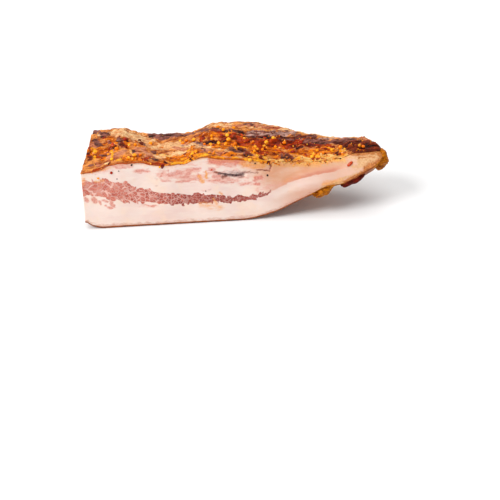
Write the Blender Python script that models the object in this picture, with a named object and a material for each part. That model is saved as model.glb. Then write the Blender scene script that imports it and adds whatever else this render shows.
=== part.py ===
"""A piece of guanciale: cured pork jowl, cut lengthwise and across, lying on its rind.

The slab is one closed loft. Its long cut face is the plane y = 0, its short cut end is at low x, and the
spiced flesh side is on top. Towards high x the jowl narrows and its tail curls up off the table.
Every size below is in millimetres and becomes metres where the mesh is made.
"""

import math
import random

import bpy
from mathutils import Matrix, Vector, noise

MM = 0.001

# Where the slab's own zero lies: the middle of its length and depth, on the table.
CENTRE_X = 122.93
CENTRE_Y = 34.56

# Length: from the cut end to the tip of the tail.
END_X = 3.2
TIP_X = 239.0

# The cut end leans: it runs back and up by these slopes, and the lean is gone this far along the slab.
END_SKEW_Y = 0.13
END_SKEW_Z = 0.022
END_SKEW_REACH = 60.0

# Cut face, low edge: (x, height). Flat on the table, then rising under the curled tail.
FOOT = ((4, 6.5), (9, 2.7), (17, 0.8), (126, 0.8), (150, 6), (166, 13.5), (180, 20.5),
        (192, 26.5), (203, 28), (222, 38.5), (230, 43), (238, 48), (246, 50))
# The rind that shows under that edge: (x, drop) and (x, depth back). It grows ragged below the tail.
RIND_DROP = ((4, 0.8), (176, 0.8), (190, 2.5), (204, 2.5), (211, 6.5), (221, 8), (228, 9), (246, 12))
RIND_DEPTH = ((4, 0.8), (178, 0.8), (200, 3), (222, 7), (246, 12))
# Cut face, top edge, where the crust begins: (x, height) and (x, depth back from the cut plane).
BROW = ((4, 50.5), (14, 51.8), (30, 57.2), (45, 57.6), (66, 54.2), (77, 54), (98, 59.3), (112, 56.8),
        (134, 54.2), (145, 51), (158, 49), (172, 46.9), (190, 46), (205, 47.5), (216, 50.5), (246, 50))
BROW_DEPTH = ((4, 0), (130, 0), (172, 7.6), (190, 9), (222, 11), (246, 14))
# Crest of the crust: (x, depth) and (x, height).
CREST_DEPTH = ((4, 60), (138, 60), (152, 56), (170, 49), (195, 40), (214, 34), (246, 28))
CREST = ((4, 54.6), (30, 55.4), (42, 52.6), (55, 48.8), (72, 48.6), (86, 48.6), (98, 51.2), (108, 55.6),
         (136, 55.6), (152, 54.4), (164, 52.4), (186, 50.8), (200, 49.8), (228, 52), (246, 51))
# Plan outline of the rounded back: (x, depth).
BACK = ((4, 63), (35, 66.5), (75, 65), (118, 67.5), (150, 63), (175, 53), (205, 42), (246, 33))
BACK_TUCK = 9.0  # how far the back curls in under itself to meet the rind
HEEL = 55.8  # the flat sole reaches no further back than this, along one straight edge
SHOULDER_RUN = 3.0  # from the crest to where the back starts to fall
SHOULDER_FALL = 1.5
SHOULDER_DROP = 2.0  # the back's curve leaves the shoulder this far below it
BACK_BULGE = 0.45  # the back's curve is drawn out by this share of its tuck
BACK_LIFT = 0.8  # the tail's underside is this share as high at the back as at the front
BACK_ROLL = {"along": 11.0, "rolls": 4, "height": 1.6, "seat": 5.3}
BROW_BEND = 1.6  # the cut face leans back late, near the crust

# Tail: past this point the section shrinks onto a blunt end around this centre.
TAIL_X = 224.0
TAIL_CENTRE_Y = 18.0
TAIL_CENTRE_Z = 45.0
TAIL_POWER = 3.3
TAIL_ROUND = 0.7
TAIL_LEAST = 0.22

# Lumps of rind fused on below the tail: (x, y, z), (half length, half depth, half height), slope in degrees.
LOBES = (
    ((189.5, 4.5, 21.6), (9.5, 6.0, 4.4), 22),
    ((212.0, 6.5, 29.8), (11.5, 7.0, 4.6), 22),
    ((237.0, 14.0, 40.5), (5.8, 7.5, 8.4), -12),
)
LOBE_RAG = {"size": 6.0, "share": 0.3}  # how far apart its bumps lie, and how high as a share of its size
LOBE_SIDES = 12
LOBE_RINGS = 8

# Crust relief. A seat is where in the noise a grain is read.
TROUGH = {"x": 152.0, "reach": 44.0, "depth_y": 27.0, "width": 8.5, "deep": 4.2}
HUMPS = (  # (x, y, reach along x, reach along y, height)
    (28, 38, 16, 12, 2.6),
    (26, 20, 11, 6, -1.8),
    (62, 44, 18, 9, -1.4),
    (112, 47, 16, 9, 1.8),
    (165, 43, 40, 4, 1.6),
    (205, 22, 16, 8, 1.6),
)
RIPPLE = {"along": 25.0, "across": 6.5, "height": 2.0, "seat": 3.1}
LUMP = {"along": 11.0, "across": 9.0, "height": 1.6, "seat": 9.7}
EDGE_CALM = 5.0  # the relief fades to nothing over this distance from the cut edge
EDGE_RAG = {"along": 7.0, "height": 0.9, "seat": 2.7}  # the crust's cut edge wavers by this much

# Cut face relief: a loose flap of fat that starts within these runs, and the face's long waves.
FLAP = {"low_x": 102.0, "low_run": 6, "high_x": 147.0, "high_run": 3, "low_z": 42.5, "rise": 3, "proud": 1.0}
WAVE = {"length": 38.0, "depth": 0.5}

# Mesh: segments along the slab and round its section.
STATIONS = 60
TAIL_STATIONS = 9
RIND_SEGMENTS = 1
FACE_SEGMENTS = 10
CRUST_SEGMENTS = 17
SIDE_SEGMENTS = RIND_SEGMENTS + FACE_SEGMENTS

# Spices pressed into the crust, as clusters: (x, y, spread along x, spread along y, how many are tried).
SEED_CLUSTERS = (
    (9, 24, 3, 10, 3),
    (27, 21, 7, 6, 4),
    (39, 31, 4, 5, 3),
    (44, 10, 9, 6, 7),
    (29, 6, 6, 2, 2),
    (56, 46, 2, 2, 1),
    (82, 42, 10, 6, 7),
    (88, 11, 7, 8, 5),
    (103, 31, 8, 10, 9),
    (114, 41, 8, 9, 9),
    (120, 30, 5, 5, 3),
    (137, 21, 8, 6, 4),
    (150, 32, 10, 4, 4),
    (186, 16, 12, 4, 4),
    (204, 22, 6, 5, 3),
    (221, 18, 6, 4, 3),
)
FLAKE_CLUSTERS = (
    (30, 30, 22, 16, 5),
    (112, 38, 16, 12, 6),
    (160, 33, 28, 6, 5),
)
BACK_SEEDS = {"count": 22, "x": (12, 200), "down": (0.08, 0.55)}
# Chilli flakes on the cut face: (x, share of the way up).
FACE_FLAKES = ((66, 0.985), (211, 0.7))

# One spice: its smallest and largest length, its width and thickness as shares of that, how deep it is sunk.
SEED = {"length": (2.5, 3.6), "width": (0.72, 1.0), "thick": 0.82, "sunk": 0.28, "sides": 6, "rings": 4}
FLAKE = {"length": (3.0, 4.4), "width": (0.5, 0.8), "thick": 0.34, "sunk": 0.3, "sides": 5, "rings": 4}
SPICE_GAP = 3.9
SPICE_CLEAR = {"end": 6, "tip": 12, "edge": 0.07}  # none sit closer to the slab's ends or the crust's edges
SPICE_DRAW = 11
SEAT_STEP_X = 1.5
SEAT_STEP_T = 0.02

COLOUR = (0.83, 0.62, 0.52)
ROUGHNESS = 0.45
SHARP_FROM = 40  # degrees


def curve_at(points, x):
    """Smooth curve through the points that never overshoots them (monotone cubic), read at x."""
    if x <= points[0][0]:
        return float(points[0][1])
    if x >= points[-1][0]:
        return float(points[-1][1])
    slopes = [(b[1] - a[1]) / (b[0] - a[0]) for a, b in zip(points, points[1:])]
    tangents = [slopes[0]]
    for before, after in zip(slopes, slopes[1:]):
        turns = before * after <= 0
        tangents.append(0.0 if turns else 2 * before * after / (before + after))
    tangents.append(slopes[-1])
    i = max(k for k in range(len(points) - 1) if points[k][0] <= x)
    (x0, z0), (x1, z1) = points[i], points[i + 1]
    h = x1 - x0
    t = (x - x0) / h
    rise = z1 - z0
    bend = (h * tangents[i] - rise) * t * (1 - t) ** 2 - (h * tangents[i + 1] - rise) * t * t * (1 - t)
    return z0 + rise * t + bend


def ease(t):
    """0 to 1 with level ends."""
    t = min(max(t, 0.0), 1.0)
    return t * t * (3 - 2 * t)


def bell(distance, reach):
    """1 at the middle, about a third at one reach away."""
    return math.exp(-((distance / reach) ** 2))


def crust_relief(x, y):
    """Height that the crust's trough, humps and ripples add at a place on top of the slab."""
    height = -TROUGH["deep"] * bell(x - TROUGH["x"], TROUGH["reach"]) * bell(
        y - TROUGH["depth_y"], TROUGH["width"])
    for hump_x, hump_y, reach_x, reach_y, rise in HUMPS:
        height += rise * bell(x - hump_x, reach_x) * bell(y - hump_y, reach_y)
    for grain in (RIPPLE, LUMP):
        height += grain["height"] * noise.noise(Vector((x / grain["along"], y / grain["across"], grain["seat"])))
    return height


def brow_height(x):
    """Height of the crust's cut edge, which wavers a little along the slab."""
    waver = noise.noise(Vector((x / EDGE_RAG["along"], EDGE_RAG["seat"], 0)))
    return curve_at(BROW, x) + EDGE_RAG["height"] * waver


def crust_point(x, t):
    """Depth and height on the crust, from the cut edge (t = 0) over the crest to the shoulder (t = 1)."""
    brow_y, brow_z = curve_at(BROW_DEPTH, x), brow_height(x)
    crest_y, crest_z = curve_at(CREST_DEPTH, x), curve_at(CREST, x)
    y = brow_y + (crest_y + SHOULDER_RUN - brow_y) * t
    over = (y - crest_y) / SHOULDER_RUN
    if over > 0:
        z = crest_z - SHOULDER_FALL * over * over
    else:
        z = brow_z + (crest_z - brow_z) * ease((y - brow_y) / (crest_y - brow_y))
    calm = ease((y - brow_y) / EDGE_CALM)
    return y, z + crust_relief(x, y) * calm


def face_point(x, t):
    """Depth and height on the cut face, from its low edge (t = 0) to the crust (t = 1)."""
    foot_z, brow_z = curve_at(FOOT, x), brow_height(x)
    z = foot_z + (brow_z - foot_z) * t
    y = curve_at(BROW_DEPTH, x) * t ** BROW_BEND
    y += WAVE["depth"] * math.sin(x / WAVE["length"] * math.tau) * math.sin(t * math.pi)
    along = ease((x - FLAP["low_x"]) / FLAP["low_run"]) * ease((FLAP["high_x"] - x) / FLAP["high_run"])
    on_flap = along * ease((z - FLAP["low_z"]) / FLAP["rise"])
    return y - FLAP["proud"] * on_flap * (1 - t), z


def underside(x):
    """The rind's low corners: (depth, height) below the cut face and where the back meets it."""
    front_z = curve_at(FOOT, x) - curve_at(RIND_DROP, x)
    heel_y = min(curve_at(BACK, x) - BACK_TUCK, HEEL)
    return (curve_at(RIND_DEPTH, x), front_z), (heel_y, front_z * BACK_LIFT)


def back_point(x, t):
    """Depth and height on the rounded back, from the shoulder (t = 0) down to the rind (t = 1)."""
    start = Vector(crust_point(x, 1.0))
    end = Vector(underside(x)[1])
    bulge = curve_at(BACK, x) + BACK_TUCK * BACK_BULGE
    handles = Vector((bulge, start.y - SHOULDER_DROP)), Vector((bulge, end.y))
    s = 1 - t
    point = start * s ** 3 + handles[0] * 3 * s * s * t + handles[1] * 3 * s * t * t + end * t ** 3
    roll = noise.noise(Vector((x / BACK_ROLL["along"], t * BACK_ROLL["rolls"], BACK_ROLL["seat"])))
    return point.x + roll * BACK_ROLL["height"] * math.sin(t * math.pi), point.y


def section(x):
    """The closed outline at one station, as (depth, height) pairs, from the rind's front corner upwards."""
    (edge_y, edge_z), (heel_y, heel_z) = underside(x)
    foot_y, foot_z = face_point(x, 0.0)
    outline = []
    for i in range(RIND_SEGMENTS):
        t = i / RIND_SEGMENTS
        outline.append((edge_y + (foot_y - edge_y) * t, edge_z + (foot_z - edge_z) * t))
    outline += [face_point(x, i / FACE_SEGMENTS) for i in range(FACE_SEGMENTS)]
    outline += [crust_point(x, i / CRUST_SEGMENTS) for i in range(CRUST_SEGMENTS)]
    outline += [back_point(x, i / SIDE_SEGMENTS) for i in range(SIDE_SEGMENTS)]
    for i in range(CRUST_SEGMENTS):
        t = i / CRUST_SEGMENTS
        outline.append((heel_y + (edge_y - heel_y) * t, heel_z + (edge_z - heel_z) * t))
    return outline


def placed(x, y, z):
    """A section's point in space: the tail shrunk and rounded off, the cut end leaned, about the centre."""
    t = (x - TAIL_X) / (TIP_X - TAIL_X)
    if t > 0:
        size = max((1 - t ** TAIL_POWER) ** TAIL_ROUND if t < 1 else 0.0, TAIL_LEAST)
        y = TAIL_CENTRE_Y + (y - TAIL_CENTRE_Y) * size
        z = TAIL_CENTRE_Z + (z - TAIL_CENTRE_Z) * size
    lean = 1 - ease((x - END_X) / END_SKEW_REACH)
    x += (END_SKEW_Y * y + END_SKEW_Z * z) * lean
    return Vector((x - CENTRE_X, y - CENTRE_Y, z)) * MM


def station_places():
    """Where the sections stand along the slab: evenly, then closer together round the blunt tail."""
    body = [END_X + (TAIL_X - END_X) * i / STATIONS for i in range(STATIONS)]
    turn = math.pi / 2 / TAIL_STATIONS
    return body + [TAIL_X + (TIP_X - TAIL_X) * math.sin(i * turn) for i in range(TAIL_STATIONS + 1)]


def cap(vertices, faces, ring, faces_up_x):
    """Closes a ring of vertex numbers with a grid between its four sides."""
    rows, columns = SIDE_SEGMENTS, CRUST_SEGMENTS
    around = len(ring)

    def front(r):
        return ring[r]

    def back(r):
        return ring[(2 * rows + columns - r) % around]

    def top(c):
        return ring[rows + c]

    def bottom(c):
        return ring[-c % around]

    grid = {}
    for r in range(rows + 1):
        for c in range(columns + 1):
            if c in (0, columns):
                grid[r, c] = front(r) if c == 0 else back(r)
            elif r in (0, rows):
                grid[r, c] = bottom(c) if r == 0 else top(c)
            else:
                u, v = r / rows, c / columns
                sides = vertices[front(r)].lerp(vertices[back(r)], v)
                ends = vertices[bottom(c)].lerp(vertices[top(c)], u)
                low = vertices[front(0)].lerp(vertices[back(0)], v)
                high = vertices[front(rows)].lerp(vertices[back(rows)], v)
                grid[r, c] = len(vertices)
                vertices.append(sides + ends - low.lerp(high, u))
    for r in range(rows):
        for c in range(columns):
            face = grid[r, c], grid[r, c + 1], grid[r + 1, c + 1], grid[r + 1, c]
            faces.append(face if faces_up_x else face[::-1])


def slab_mesh():
    """The slab without its spices and lobes, as one closed mesh."""
    vertices, faces, rings = [], [], []
    for x in station_places():
        ring = range(len(vertices), len(vertices) + 2 * (SIDE_SEGMENTS + CRUST_SEGMENTS))
        vertices += [placed(x, y, z) for y, z in section(x)]
        rings.append(list(ring))
    for ring, after in zip(rings, rings[1:]):
        for j in range(len(ring)):
            k = (j + 1) % len(ring)
            faces.append((ring[j], after[j], after[k], ring[k]))
    cap(vertices, faces, rings[0], faces_up_x=False)
    cap(vertices, faces, rings[-1], faces_up_x=True)
    mesh = bpy.data.meshes.new("guanciale")
    mesh.from_pydata(vertices, [], faces)
    mesh.validate()
    return mesh


def seat_on(surface, x, t):
    """A place on one of the slab's surfaces and its outward normal there."""
    before, beyond = x - SEAT_STEP_X, x + SEAT_STEP_X
    here = placed(x, *surface(x, t))
    along = placed(beyond, *surface(beyond, t)) - placed(before, *surface(before, t))
    over = placed(x, *surface(x, t + SEAT_STEP_T)) - placed(x, *surface(x, t - SEAT_STEP_T))
    return here, along.cross(over).normalized()


def crust_share(x, y):
    """How far over the crust a depth lies, as crust_point reads it."""
    brow_y = curve_at(BROW_DEPTH, x)
    return (y - brow_y) / (curve_at(CREST_DEPTH, x) + SHOULDER_RUN - brow_y)


def scattered(clusters, draw):
    """Places on the crust, drawn round each cluster's middle."""
    for x, y, spread_x, spread_y, count in clusters:
        for _ in range(count):
            near_x, near_y = draw.gauss(x, spread_x / 2), draw.gauss(y, spread_y / 2)
            yield crust_point, near_x, crust_share(near_x, near_y)


def spice_seats(draw):
    """Where the spices sit, as (kind, place, normal), none closer than the gap to another."""
    wanted = [(FLAKE, face_point, x, t) for x, t in FACE_FLAKES]
    wanted += [(SEED, *place) for place in scattered(SEED_CLUSTERS, draw)]
    wanted += [(FLAKE, *place) for place in scattered(FLAKE_CLUSTERS, draw)]
    for _ in range(BACK_SEEDS["count"]):
        wanted.append((SEED, back_point, draw.uniform(*BACK_SEEDS["x"]), draw.uniform(*BACK_SEEDS["down"])))
    seats = []
    for kind, surface, x, t in wanted:
        inside = END_X + SPICE_CLEAR["end"] < x < TIP_X - SPICE_CLEAR["tip"]
        inside = inside and SPICE_CLEAR["edge"] < t < 1 - SPICE_CLEAR["edge"]
        if surface is not face_point and not inside:
            continue
        place, normal = seat_on(surface, x, t)
        if all((place - other).length > SPICE_GAP * MM for _, other, _ in seats):
            seats.append((kind, place, normal))
    return seats


def add_spice(name, kind, place, normal, draw, collection):
    """One rounded seed or flake, pressed into the surface along its normal."""
    length = draw.uniform(*kind["length"]) * MM
    thick = length * kind["thick"]
    bpy.ops.mesh.primitive_uv_sphere_add(segments=kind["sides"], ring_count=kind["rings"], radius=length / 2)
    spice = bpy.context.object
    spice.name = name
    flatten = Matrix.Diagonal((1, draw.uniform(*kind["width"]), kind["thick"], 1))
    spin = Matrix.Rotation(draw.uniform(0, math.pi), 4, "Z")
    spice.data.transform(normal.to_track_quat("Z", "Y").to_matrix().to_4x4() @ spin @ flatten)
    spice.location = place + normal * thick * (0.5 - kind["sunk"])
    move_to(spice, collection)


def add_lobe(name, centre, half_sizes, slope, collection):
    """One rounded lump of rind, lying along the slab and tipped up by its slope."""
    bpy.ops.mesh.primitive_uv_sphere_add(segments=LOBE_SIDES, ring_count=LOBE_RINGS, radius=MM)
    lobe = bpy.context.object
    lobe.name = name
    x, y, z = centre
    tip_up = Matrix.Rotation(-math.radians(slope), 3, "Y")
    for vertex in lobe.data.vertices:
        shape = Matrix.Diagonal(half_sizes) @ vertex.co
        bump = noise.noise((shape / MM + Vector(centre)) / LOBE_RAG["size"])
        vertex.co = tip_up @ (shape * (1 + LOBE_RAG["share"] * bump))
    lobe.location = Vector((x - CENTRE_X, y - CENTRE_Y, z)) * MM
    move_to(lobe, collection)


def move_to(piece, collection):
    """Puts a new object in this collection alone."""
    for home in list(piece.users_collection):
        home.objects.unlink(piece)
    collection.objects.link(piece)


def fuse(body, collection):
    """Joins the collection's pieces to the body by one Boolean union and removes them."""
    union = body.modifiers.new("fused", "BOOLEAN")
    union.operation = "UNION"
    union.operand_type = "COLLECTION"
    union.collection = collection
    union.solver = "EXACT"
    bpy.context.view_layer.update()
    joined = bpy.data.meshes.new_from_object(body.evaluated_get(bpy.context.evaluated_depsgraph_get()))
    body.modifiers.remove(union)
    body.data = joined
    for piece in list(collection.objects):
        bpy.data.objects.remove(piece)
    bpy.data.collections.remove(collection)


def food_material(name, colour, roughness):
    """A plain Principled finish."""
    material = bpy.data.materials.new(name)
    material.use_nodes = True
    shader = material.node_tree.nodes["Principled BSDF"]
    shader.inputs["Base Color"].default_value = (*colour, 1)
    shader.inputs["Roughness"].default_value = roughness
    shader.inputs["Metallic"].default_value = 0
    return material


def main():
    """Builds the slab, fuses its lobes and spices to it and gives it a finish."""
    for leftover in list(bpy.data.objects):
        bpy.data.objects.remove(leftover)
    slab = bpy.data.objects.new("guanciale", slab_mesh())
    bpy.context.scene.collection.objects.link(slab)
    fused = bpy.data.collections.new("fused")
    bpy.context.scene.collection.children.link(fused)
    for number, (centre, half_sizes, slope) in enumerate(LOBES):
        add_lobe(f"lobe_{number}", centre, half_sizes, slope, fused)
    draw = random.Random(SPICE_DRAW)
    for number, (kind, place, normal) in enumerate(spice_seats(draw)):
        add_spice(f"spice_{number:03d}", kind, place, normal, draw, fused)
    fuse(slab, fused)
    slab.data.materials.clear()
    slab.data.materials.append(food_material("cured_pork", COLOUR, ROUGHNESS))
    slab.data.shade_smooth()
    slab.data.set_sharp_from_angle(angle=math.radians(SHARP_FROM))


main()
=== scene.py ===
"""The looks of a piece of guanciale: cured pork jowl, cut lengthwise and across, lying on its rind.

The slab is worked out in millimetres from its own zero (low x is the cut end, y = 0 the long cut face, z = 0
the table), by the same rules as the solid. Its meshes are made in metres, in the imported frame.
"""

import logging
import math
import random
from collections.abc import Callable, Iterator, Sequence
from dataclasses import dataclass, replace
from enum import Enum

import bmesh
import bpy
import numpy as np
from mathutils import Matrix, Vector, noise


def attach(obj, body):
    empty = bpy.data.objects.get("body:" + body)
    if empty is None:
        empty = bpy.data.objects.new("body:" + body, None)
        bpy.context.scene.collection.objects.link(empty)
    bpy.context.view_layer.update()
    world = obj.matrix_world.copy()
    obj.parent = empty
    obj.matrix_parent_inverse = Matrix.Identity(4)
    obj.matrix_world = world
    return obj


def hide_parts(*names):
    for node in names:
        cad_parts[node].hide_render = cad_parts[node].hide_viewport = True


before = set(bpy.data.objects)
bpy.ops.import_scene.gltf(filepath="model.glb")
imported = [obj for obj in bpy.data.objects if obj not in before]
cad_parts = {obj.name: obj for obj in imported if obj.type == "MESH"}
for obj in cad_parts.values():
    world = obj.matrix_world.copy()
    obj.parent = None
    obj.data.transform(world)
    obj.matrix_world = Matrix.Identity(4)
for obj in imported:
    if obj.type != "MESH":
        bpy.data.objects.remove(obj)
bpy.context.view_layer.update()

LOG = logging.getLogger("guanciale")
NODE = "guanciale"
BODY = "root"
MM = 0.001
TINY = 1e-9

Array = np.ndarray
Curve = tuple[tuple[float, float], ...]
Span = tuple[float, float]
Triple = tuple[float, float, float]
Colour = Triple
Piece = bpy.types.Object
Skin = bpy.types.Material
Tree = bpy.types.NodeTree
Node = bpy.types.Node
Socket = bpy.types.NodeSocket
Painted = tuple[Socket, Socket | None, Socket | None]
Faces = list[list[int]]
Surface = Callable[[Array, Array], Array]
Cluster = tuple[float, float, float, float, int]


# ---------------- plain sums


def read_curve(points: Curve, x: Array) -> Array:
    """Reads a smooth curve that never overshoots its points (monotone cubic).

    Args:
        points: The curve's (place, value) pairs, in order of place.
        x: Places to read it at.

    Returns:
        The curve's value at each place.
    """
    at, value = np.array(points, float).T
    gap, rise = np.diff(at), np.diff(value)
    slope = rise / gap
    before, after = slope[:-1], slope[1:]
    same_way = before * after > 0
    total = np.where(same_way, before + after, 1.0)
    inner = np.where(same_way, 2 * before * after / total, 0.0)
    tangent = np.concatenate(([slope[0]], inner, [slope[-1]]))
    i = np.clip(np.searchsorted(at, x, side="right") - 1, 0, len(gap) - 1)
    t = np.clip((x - at[i]) / gap[i], 0, 1)
    start = (gap[i] * tangent[i] - rise[i]) * t * (1 - t) ** 2
    end = (gap[i] * tangent[i + 1] - rise[i]) * t * t * (1 - t)
    return value[i] + rise[i] * t + start - end


def ease(t: Array) -> Array:
    """Goes from 0 to 1 with level ends."""
    t = np.clip(t, 0, 1)
    return t * t * (3 - 2 * t)


def ramp(x: Array, start: float, run: float) -> Array:
    """Goes from 0 at the start to 1 one run further on, or further back where the run is negative."""
    return ease((x - start) / run)


def bell(distance: Array, reach: float | Array) -> Array:
    """Is 1 at the middle and about a third at one reach away."""
    return np.exp(-((distance / reach) ** 2))


def bumps(x: Array, y: Array, z: float | Array) -> Array:
    """Smooth noise between -1 and 1 at each place."""
    x, y, z = np.broadcast_arrays(x, y, z)
    return np.reshape([noise.noise(Vector(at)) for at in zip(x.ravel(), y.ravel(), z.ravel())], x.shape)


def ridges(x: Array, y: Array, z: float) -> Array:
    """Noise with sharp crests, between 0 in the valleys and 1 on the crests."""
    return 1 - np.abs(bumps(x, y, z)) * 2


@dataclass(frozen=True)
class Stroke:
    """A soft stroke over a surface: its two ends, how far it reaches to each side and how strong it is."""

    start: Span
    end: Span
    reach: float
    power: float = 1.0

    def share(self, x: Array, y: Array) -> Array:
        """How strongly the stroke lies on a surface.

        Args:
            x: Places along the slab.
            y: Places across the surface.

        Returns:
            The strength at each place.
        """
        (ax, ay), (bx, by) = self.start, self.end
        run = max((bx - ax) ** 2 + (by - ay) ** 2, TINY)
        t = np.clip(((x - ax) * (bx - ax) + (y - ay) * (by - ay)) / run, 0, 1)
        away = np.hypot(x - ax - (bx - ax) * t, y - ay - (by - ay) * t)
        return self.power * bell(away, self.reach)


def strokes(*rows: tuple[float, ...]) -> tuple[Stroke, ...]:
    """Strokes from rows of numbers: the start's x and y, the end's x and y, the reach and the power."""
    return tuple(Stroke(row[:2], row[2:4], *row[4:]) for row in rows)


def painted(marks: Sequence[Stroke], x: Array, y: Array) -> Array:
    """The strongest of several strokes at each place."""
    return np.max([stroke.share(x, y) for stroke in marks], 0)


# ---------------- the form


@dataclass(frozen=True)
class Relief:
    """Noise of one grain: how far apart its bumps lie both ways, how high they are and where it is read."""

    along: float
    across: float
    height: float
    seat: float

    def at(self, x: Array, y: Array) -> Array:
        """Height at each place."""
        return self.height * bumps(x / self.along, y / self.across, self.seat)


@dataclass(frozen=True)
class Jowl:
    """The slab's true form. Curves are read along x and give a height or a depth, in millimetres."""

    centre_x: float = 122.93
    centre_y: float = 34.56
    end_x: float = 3.2
    tip_x: float = 239.0
    skew_y: float = 0.13
    skew_z: float = 0.022
    skew_reach: float = 60.0
    foot: Curve = (
        (4, 6.5), (9, 2.7), (17, 0.8), (126, 0.8), (150, 6), (166, 13.5), (180, 20.5),
        (192, 26.5), (203, 28), (222, 38.5), (230, 43), (238, 48), (246, 50))
    rind_drop: Curve = (
        (4, 0.8), (176, 0.8), (190, 2.5), (204, 2.5), (211, 6.5), (221, 8), (228, 9), (246, 12))
    rind_depth: Curve = ((4, 0.8), (178, 0.8), (200, 3), (222, 7), (246, 12))
    brow: Curve = (
        (4, 50.5), (14, 51.8), (30, 57.2), (45, 57.6), (66, 54.2), (77, 54), (98, 59.3), (112, 56.8),
        (134, 54.2), (145, 51), (158, 49), (172, 46.9), (190, 46), (205, 47.5), (216, 50.5), (246, 50))
    brow_depth: Curve = ((4, 0), (130, 0), (172, 7.6), (190, 9), (222, 11), (246, 14))
    crest_depth: Curve = ((4, 60), (138, 60), (152, 56), (170, 49), (195, 40), (214, 34), (246, 28))
    crest: Curve = (
        (4, 54.6), (30, 55.4), (42, 52.6), (55, 48.8), (72, 48.6), (86, 48.6), (98, 51.2), (108, 55.6),
        (136, 55.6), (152, 54.4), (164, 52.4), (186, 50.8), (200, 49.8), (228, 52), (246, 51))
    back_depth: Curve = (
        (4, 63), (35, 66.5), (75, 65), (118, 67.5), (150, 63), (175, 53), (205, 42), (246, 33))
    back_tuck: float = 9.0
    heel: float = 55.8
    back_bulge: float = 4.05
    back_drop: float = 2.0
    roll_turns: float = 4.0
    roll_seat: float = 5.3
    shoulder_run: float = 3.0
    shoulder_fall: float = 1.5
    back_lift: float = 0.8
    tail_x: float = 224.0
    tail_centre_y: float = 18.0
    tail_centre_z: float = 45.0
    tail_power: float = 3.3
    tail_round: float = 0.7
    tail_least: float = 0.03
    trough_x: float = 152.0
    trough_reach: float = 44.0
    trough_y: float = 27.0
    trough_width: float = 8.5
    trough_deep: float = 4.2
    humps: tuple[tuple[float, float, float, float, float], ...] = (
        (28, 38, 16, 12, 2.6), (26, 20, 11, 6, -1.8), (62, 44, 18, 9, -1.4), (112, 47, 16, 9, 1.8),
        (165, 43, 40, 4, 1.6), (205, 22, 16, 8, 1.6))
    ripple: Relief = Relief(25.0, 6.5, 2.0, 3.1)
    lump: Relief = Relief(11.0, 9.0, 1.6, 9.7)
    edge_calm: float = 5.0
    rag_along: float = 7.0
    rag_height: float = 0.9
    rag_seat: float = 2.7
    flap_x: Span = (102.0, 147.0)
    flap_ends: Span = (6.0, 3.0)
    flap_z: float = 42.5
    flap_rise: float = 3.0
    flap_proud: float = 1.0
    cut_round: float = 1.6
    wave_length: float = 38.0
    wave_deep: float = 0.5

    def brow_height(self, x: Array) -> Array:
        """Height of the crust's cut edge, which wavers a little along the slab."""
        return read_curve(self.brow, x) + self.rag_height * bumps(x / self.rag_along, self.rag_seat, 0)

    def relief(self, x: Array, y: Array) -> Array:
        """What the crust's trough, humps and ripples add to it.

        Args:
            x: Places along the slab.
            y: Depths behind the cut face.

        Returns:
            The height at each place.
        """
        height = -self.trough_deep * bell(x - self.trough_x, self.trough_reach)
        height = height * bell(y - self.trough_y, self.trough_width)
        for hump_x, hump_y, reach_x, reach_y, rise in self.humps:
            height = height + rise * bell(x - hump_x, reach_x) * bell(y - hump_y, reach_y)
        return height + self.ripple.at(x, y) + self.lump.at(x, y)

    def crust(self, x: Array, t: Array) -> Array:
        """The crust, from the cut edge over the crest to the shoulder.

        Args:
            x: Places along the slab.
            t: Shares of the way, from 0 at the cut edge.

        Returns:
            The places.
        """
        brow_y, brow_z = read_curve(self.brow_depth, x), self.brow_height(x)
        crest_y, crest_z = read_curve(self.crest_depth, x), read_curve(self.crest, x)
        y = brow_y + (crest_y + self.shoulder_run - brow_y) * t
        over = (y - crest_y) / self.shoulder_run
        rising = brow_z + (crest_z - brow_z) * ease((y - brow_y) / (crest_y - brow_y))
        z = np.where(over > 0, crest_z - self.shoulder_fall * over * over, rising)
        z = z + self.relief(x, y) * ease((y - brow_y) / self.edge_calm)
        return np.stack(np.broadcast_arrays(x, y, z), -1)

    def cut(self, x: Array, t: Array) -> Array:
        """The long cut face, from its low edge up to the crust.

        Args:
            x: Places along the slab.
            t: Shares of the way, from 0 at the low edge.

        Returns:
            The places.
        """
        foot_z, brow_z = read_curve(self.foot, x), self.brow_height(x)
        z = foot_z + (brow_z - foot_z) * t
        y = read_curve(self.brow_depth, x) * t ** self.cut_round
        y = y + self.wave_deep * np.sin(x / self.wave_length * math.tau) * np.sin(t * math.pi)
        (low, high), (low_run, high_run) = self.flap_x, self.flap_ends
        on_flap = ramp(x, low, low_run) * ramp(x, high, -high_run) * ramp(z, self.flap_z, self.flap_rise)
        return np.stack(np.broadcast_arrays(x, y - self.flap_proud * on_flap * (1 - t), z), -1)

    def corner(self, x: Array) -> tuple[Array, Array]:
        """Depth and height of the rind's low corner under the cut face."""
        return read_curve(self.rind_depth, x), read_curve(self.foot, x) - read_curve(self.rind_drop, x)

    def rind_edge(self, x: Array, t: Array) -> Array:
        """The rind that shows below the cut face, from its low corner up.

        Args:
            x: Places along the slab.
            t: Shares of the way, from 0 at the corner.

        Returns:
            The places.
        """
        foot = self.cut(x, np.zeros_like(t))
        corner_y, corner_z = self.corner(x)
        y = corner_y + (foot[..., 1] - corner_y) * t
        z = corner_z + (foot[..., 2] - corner_z) * t
        return np.stack(np.broadcast_arrays(x, y, z), -1)

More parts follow.
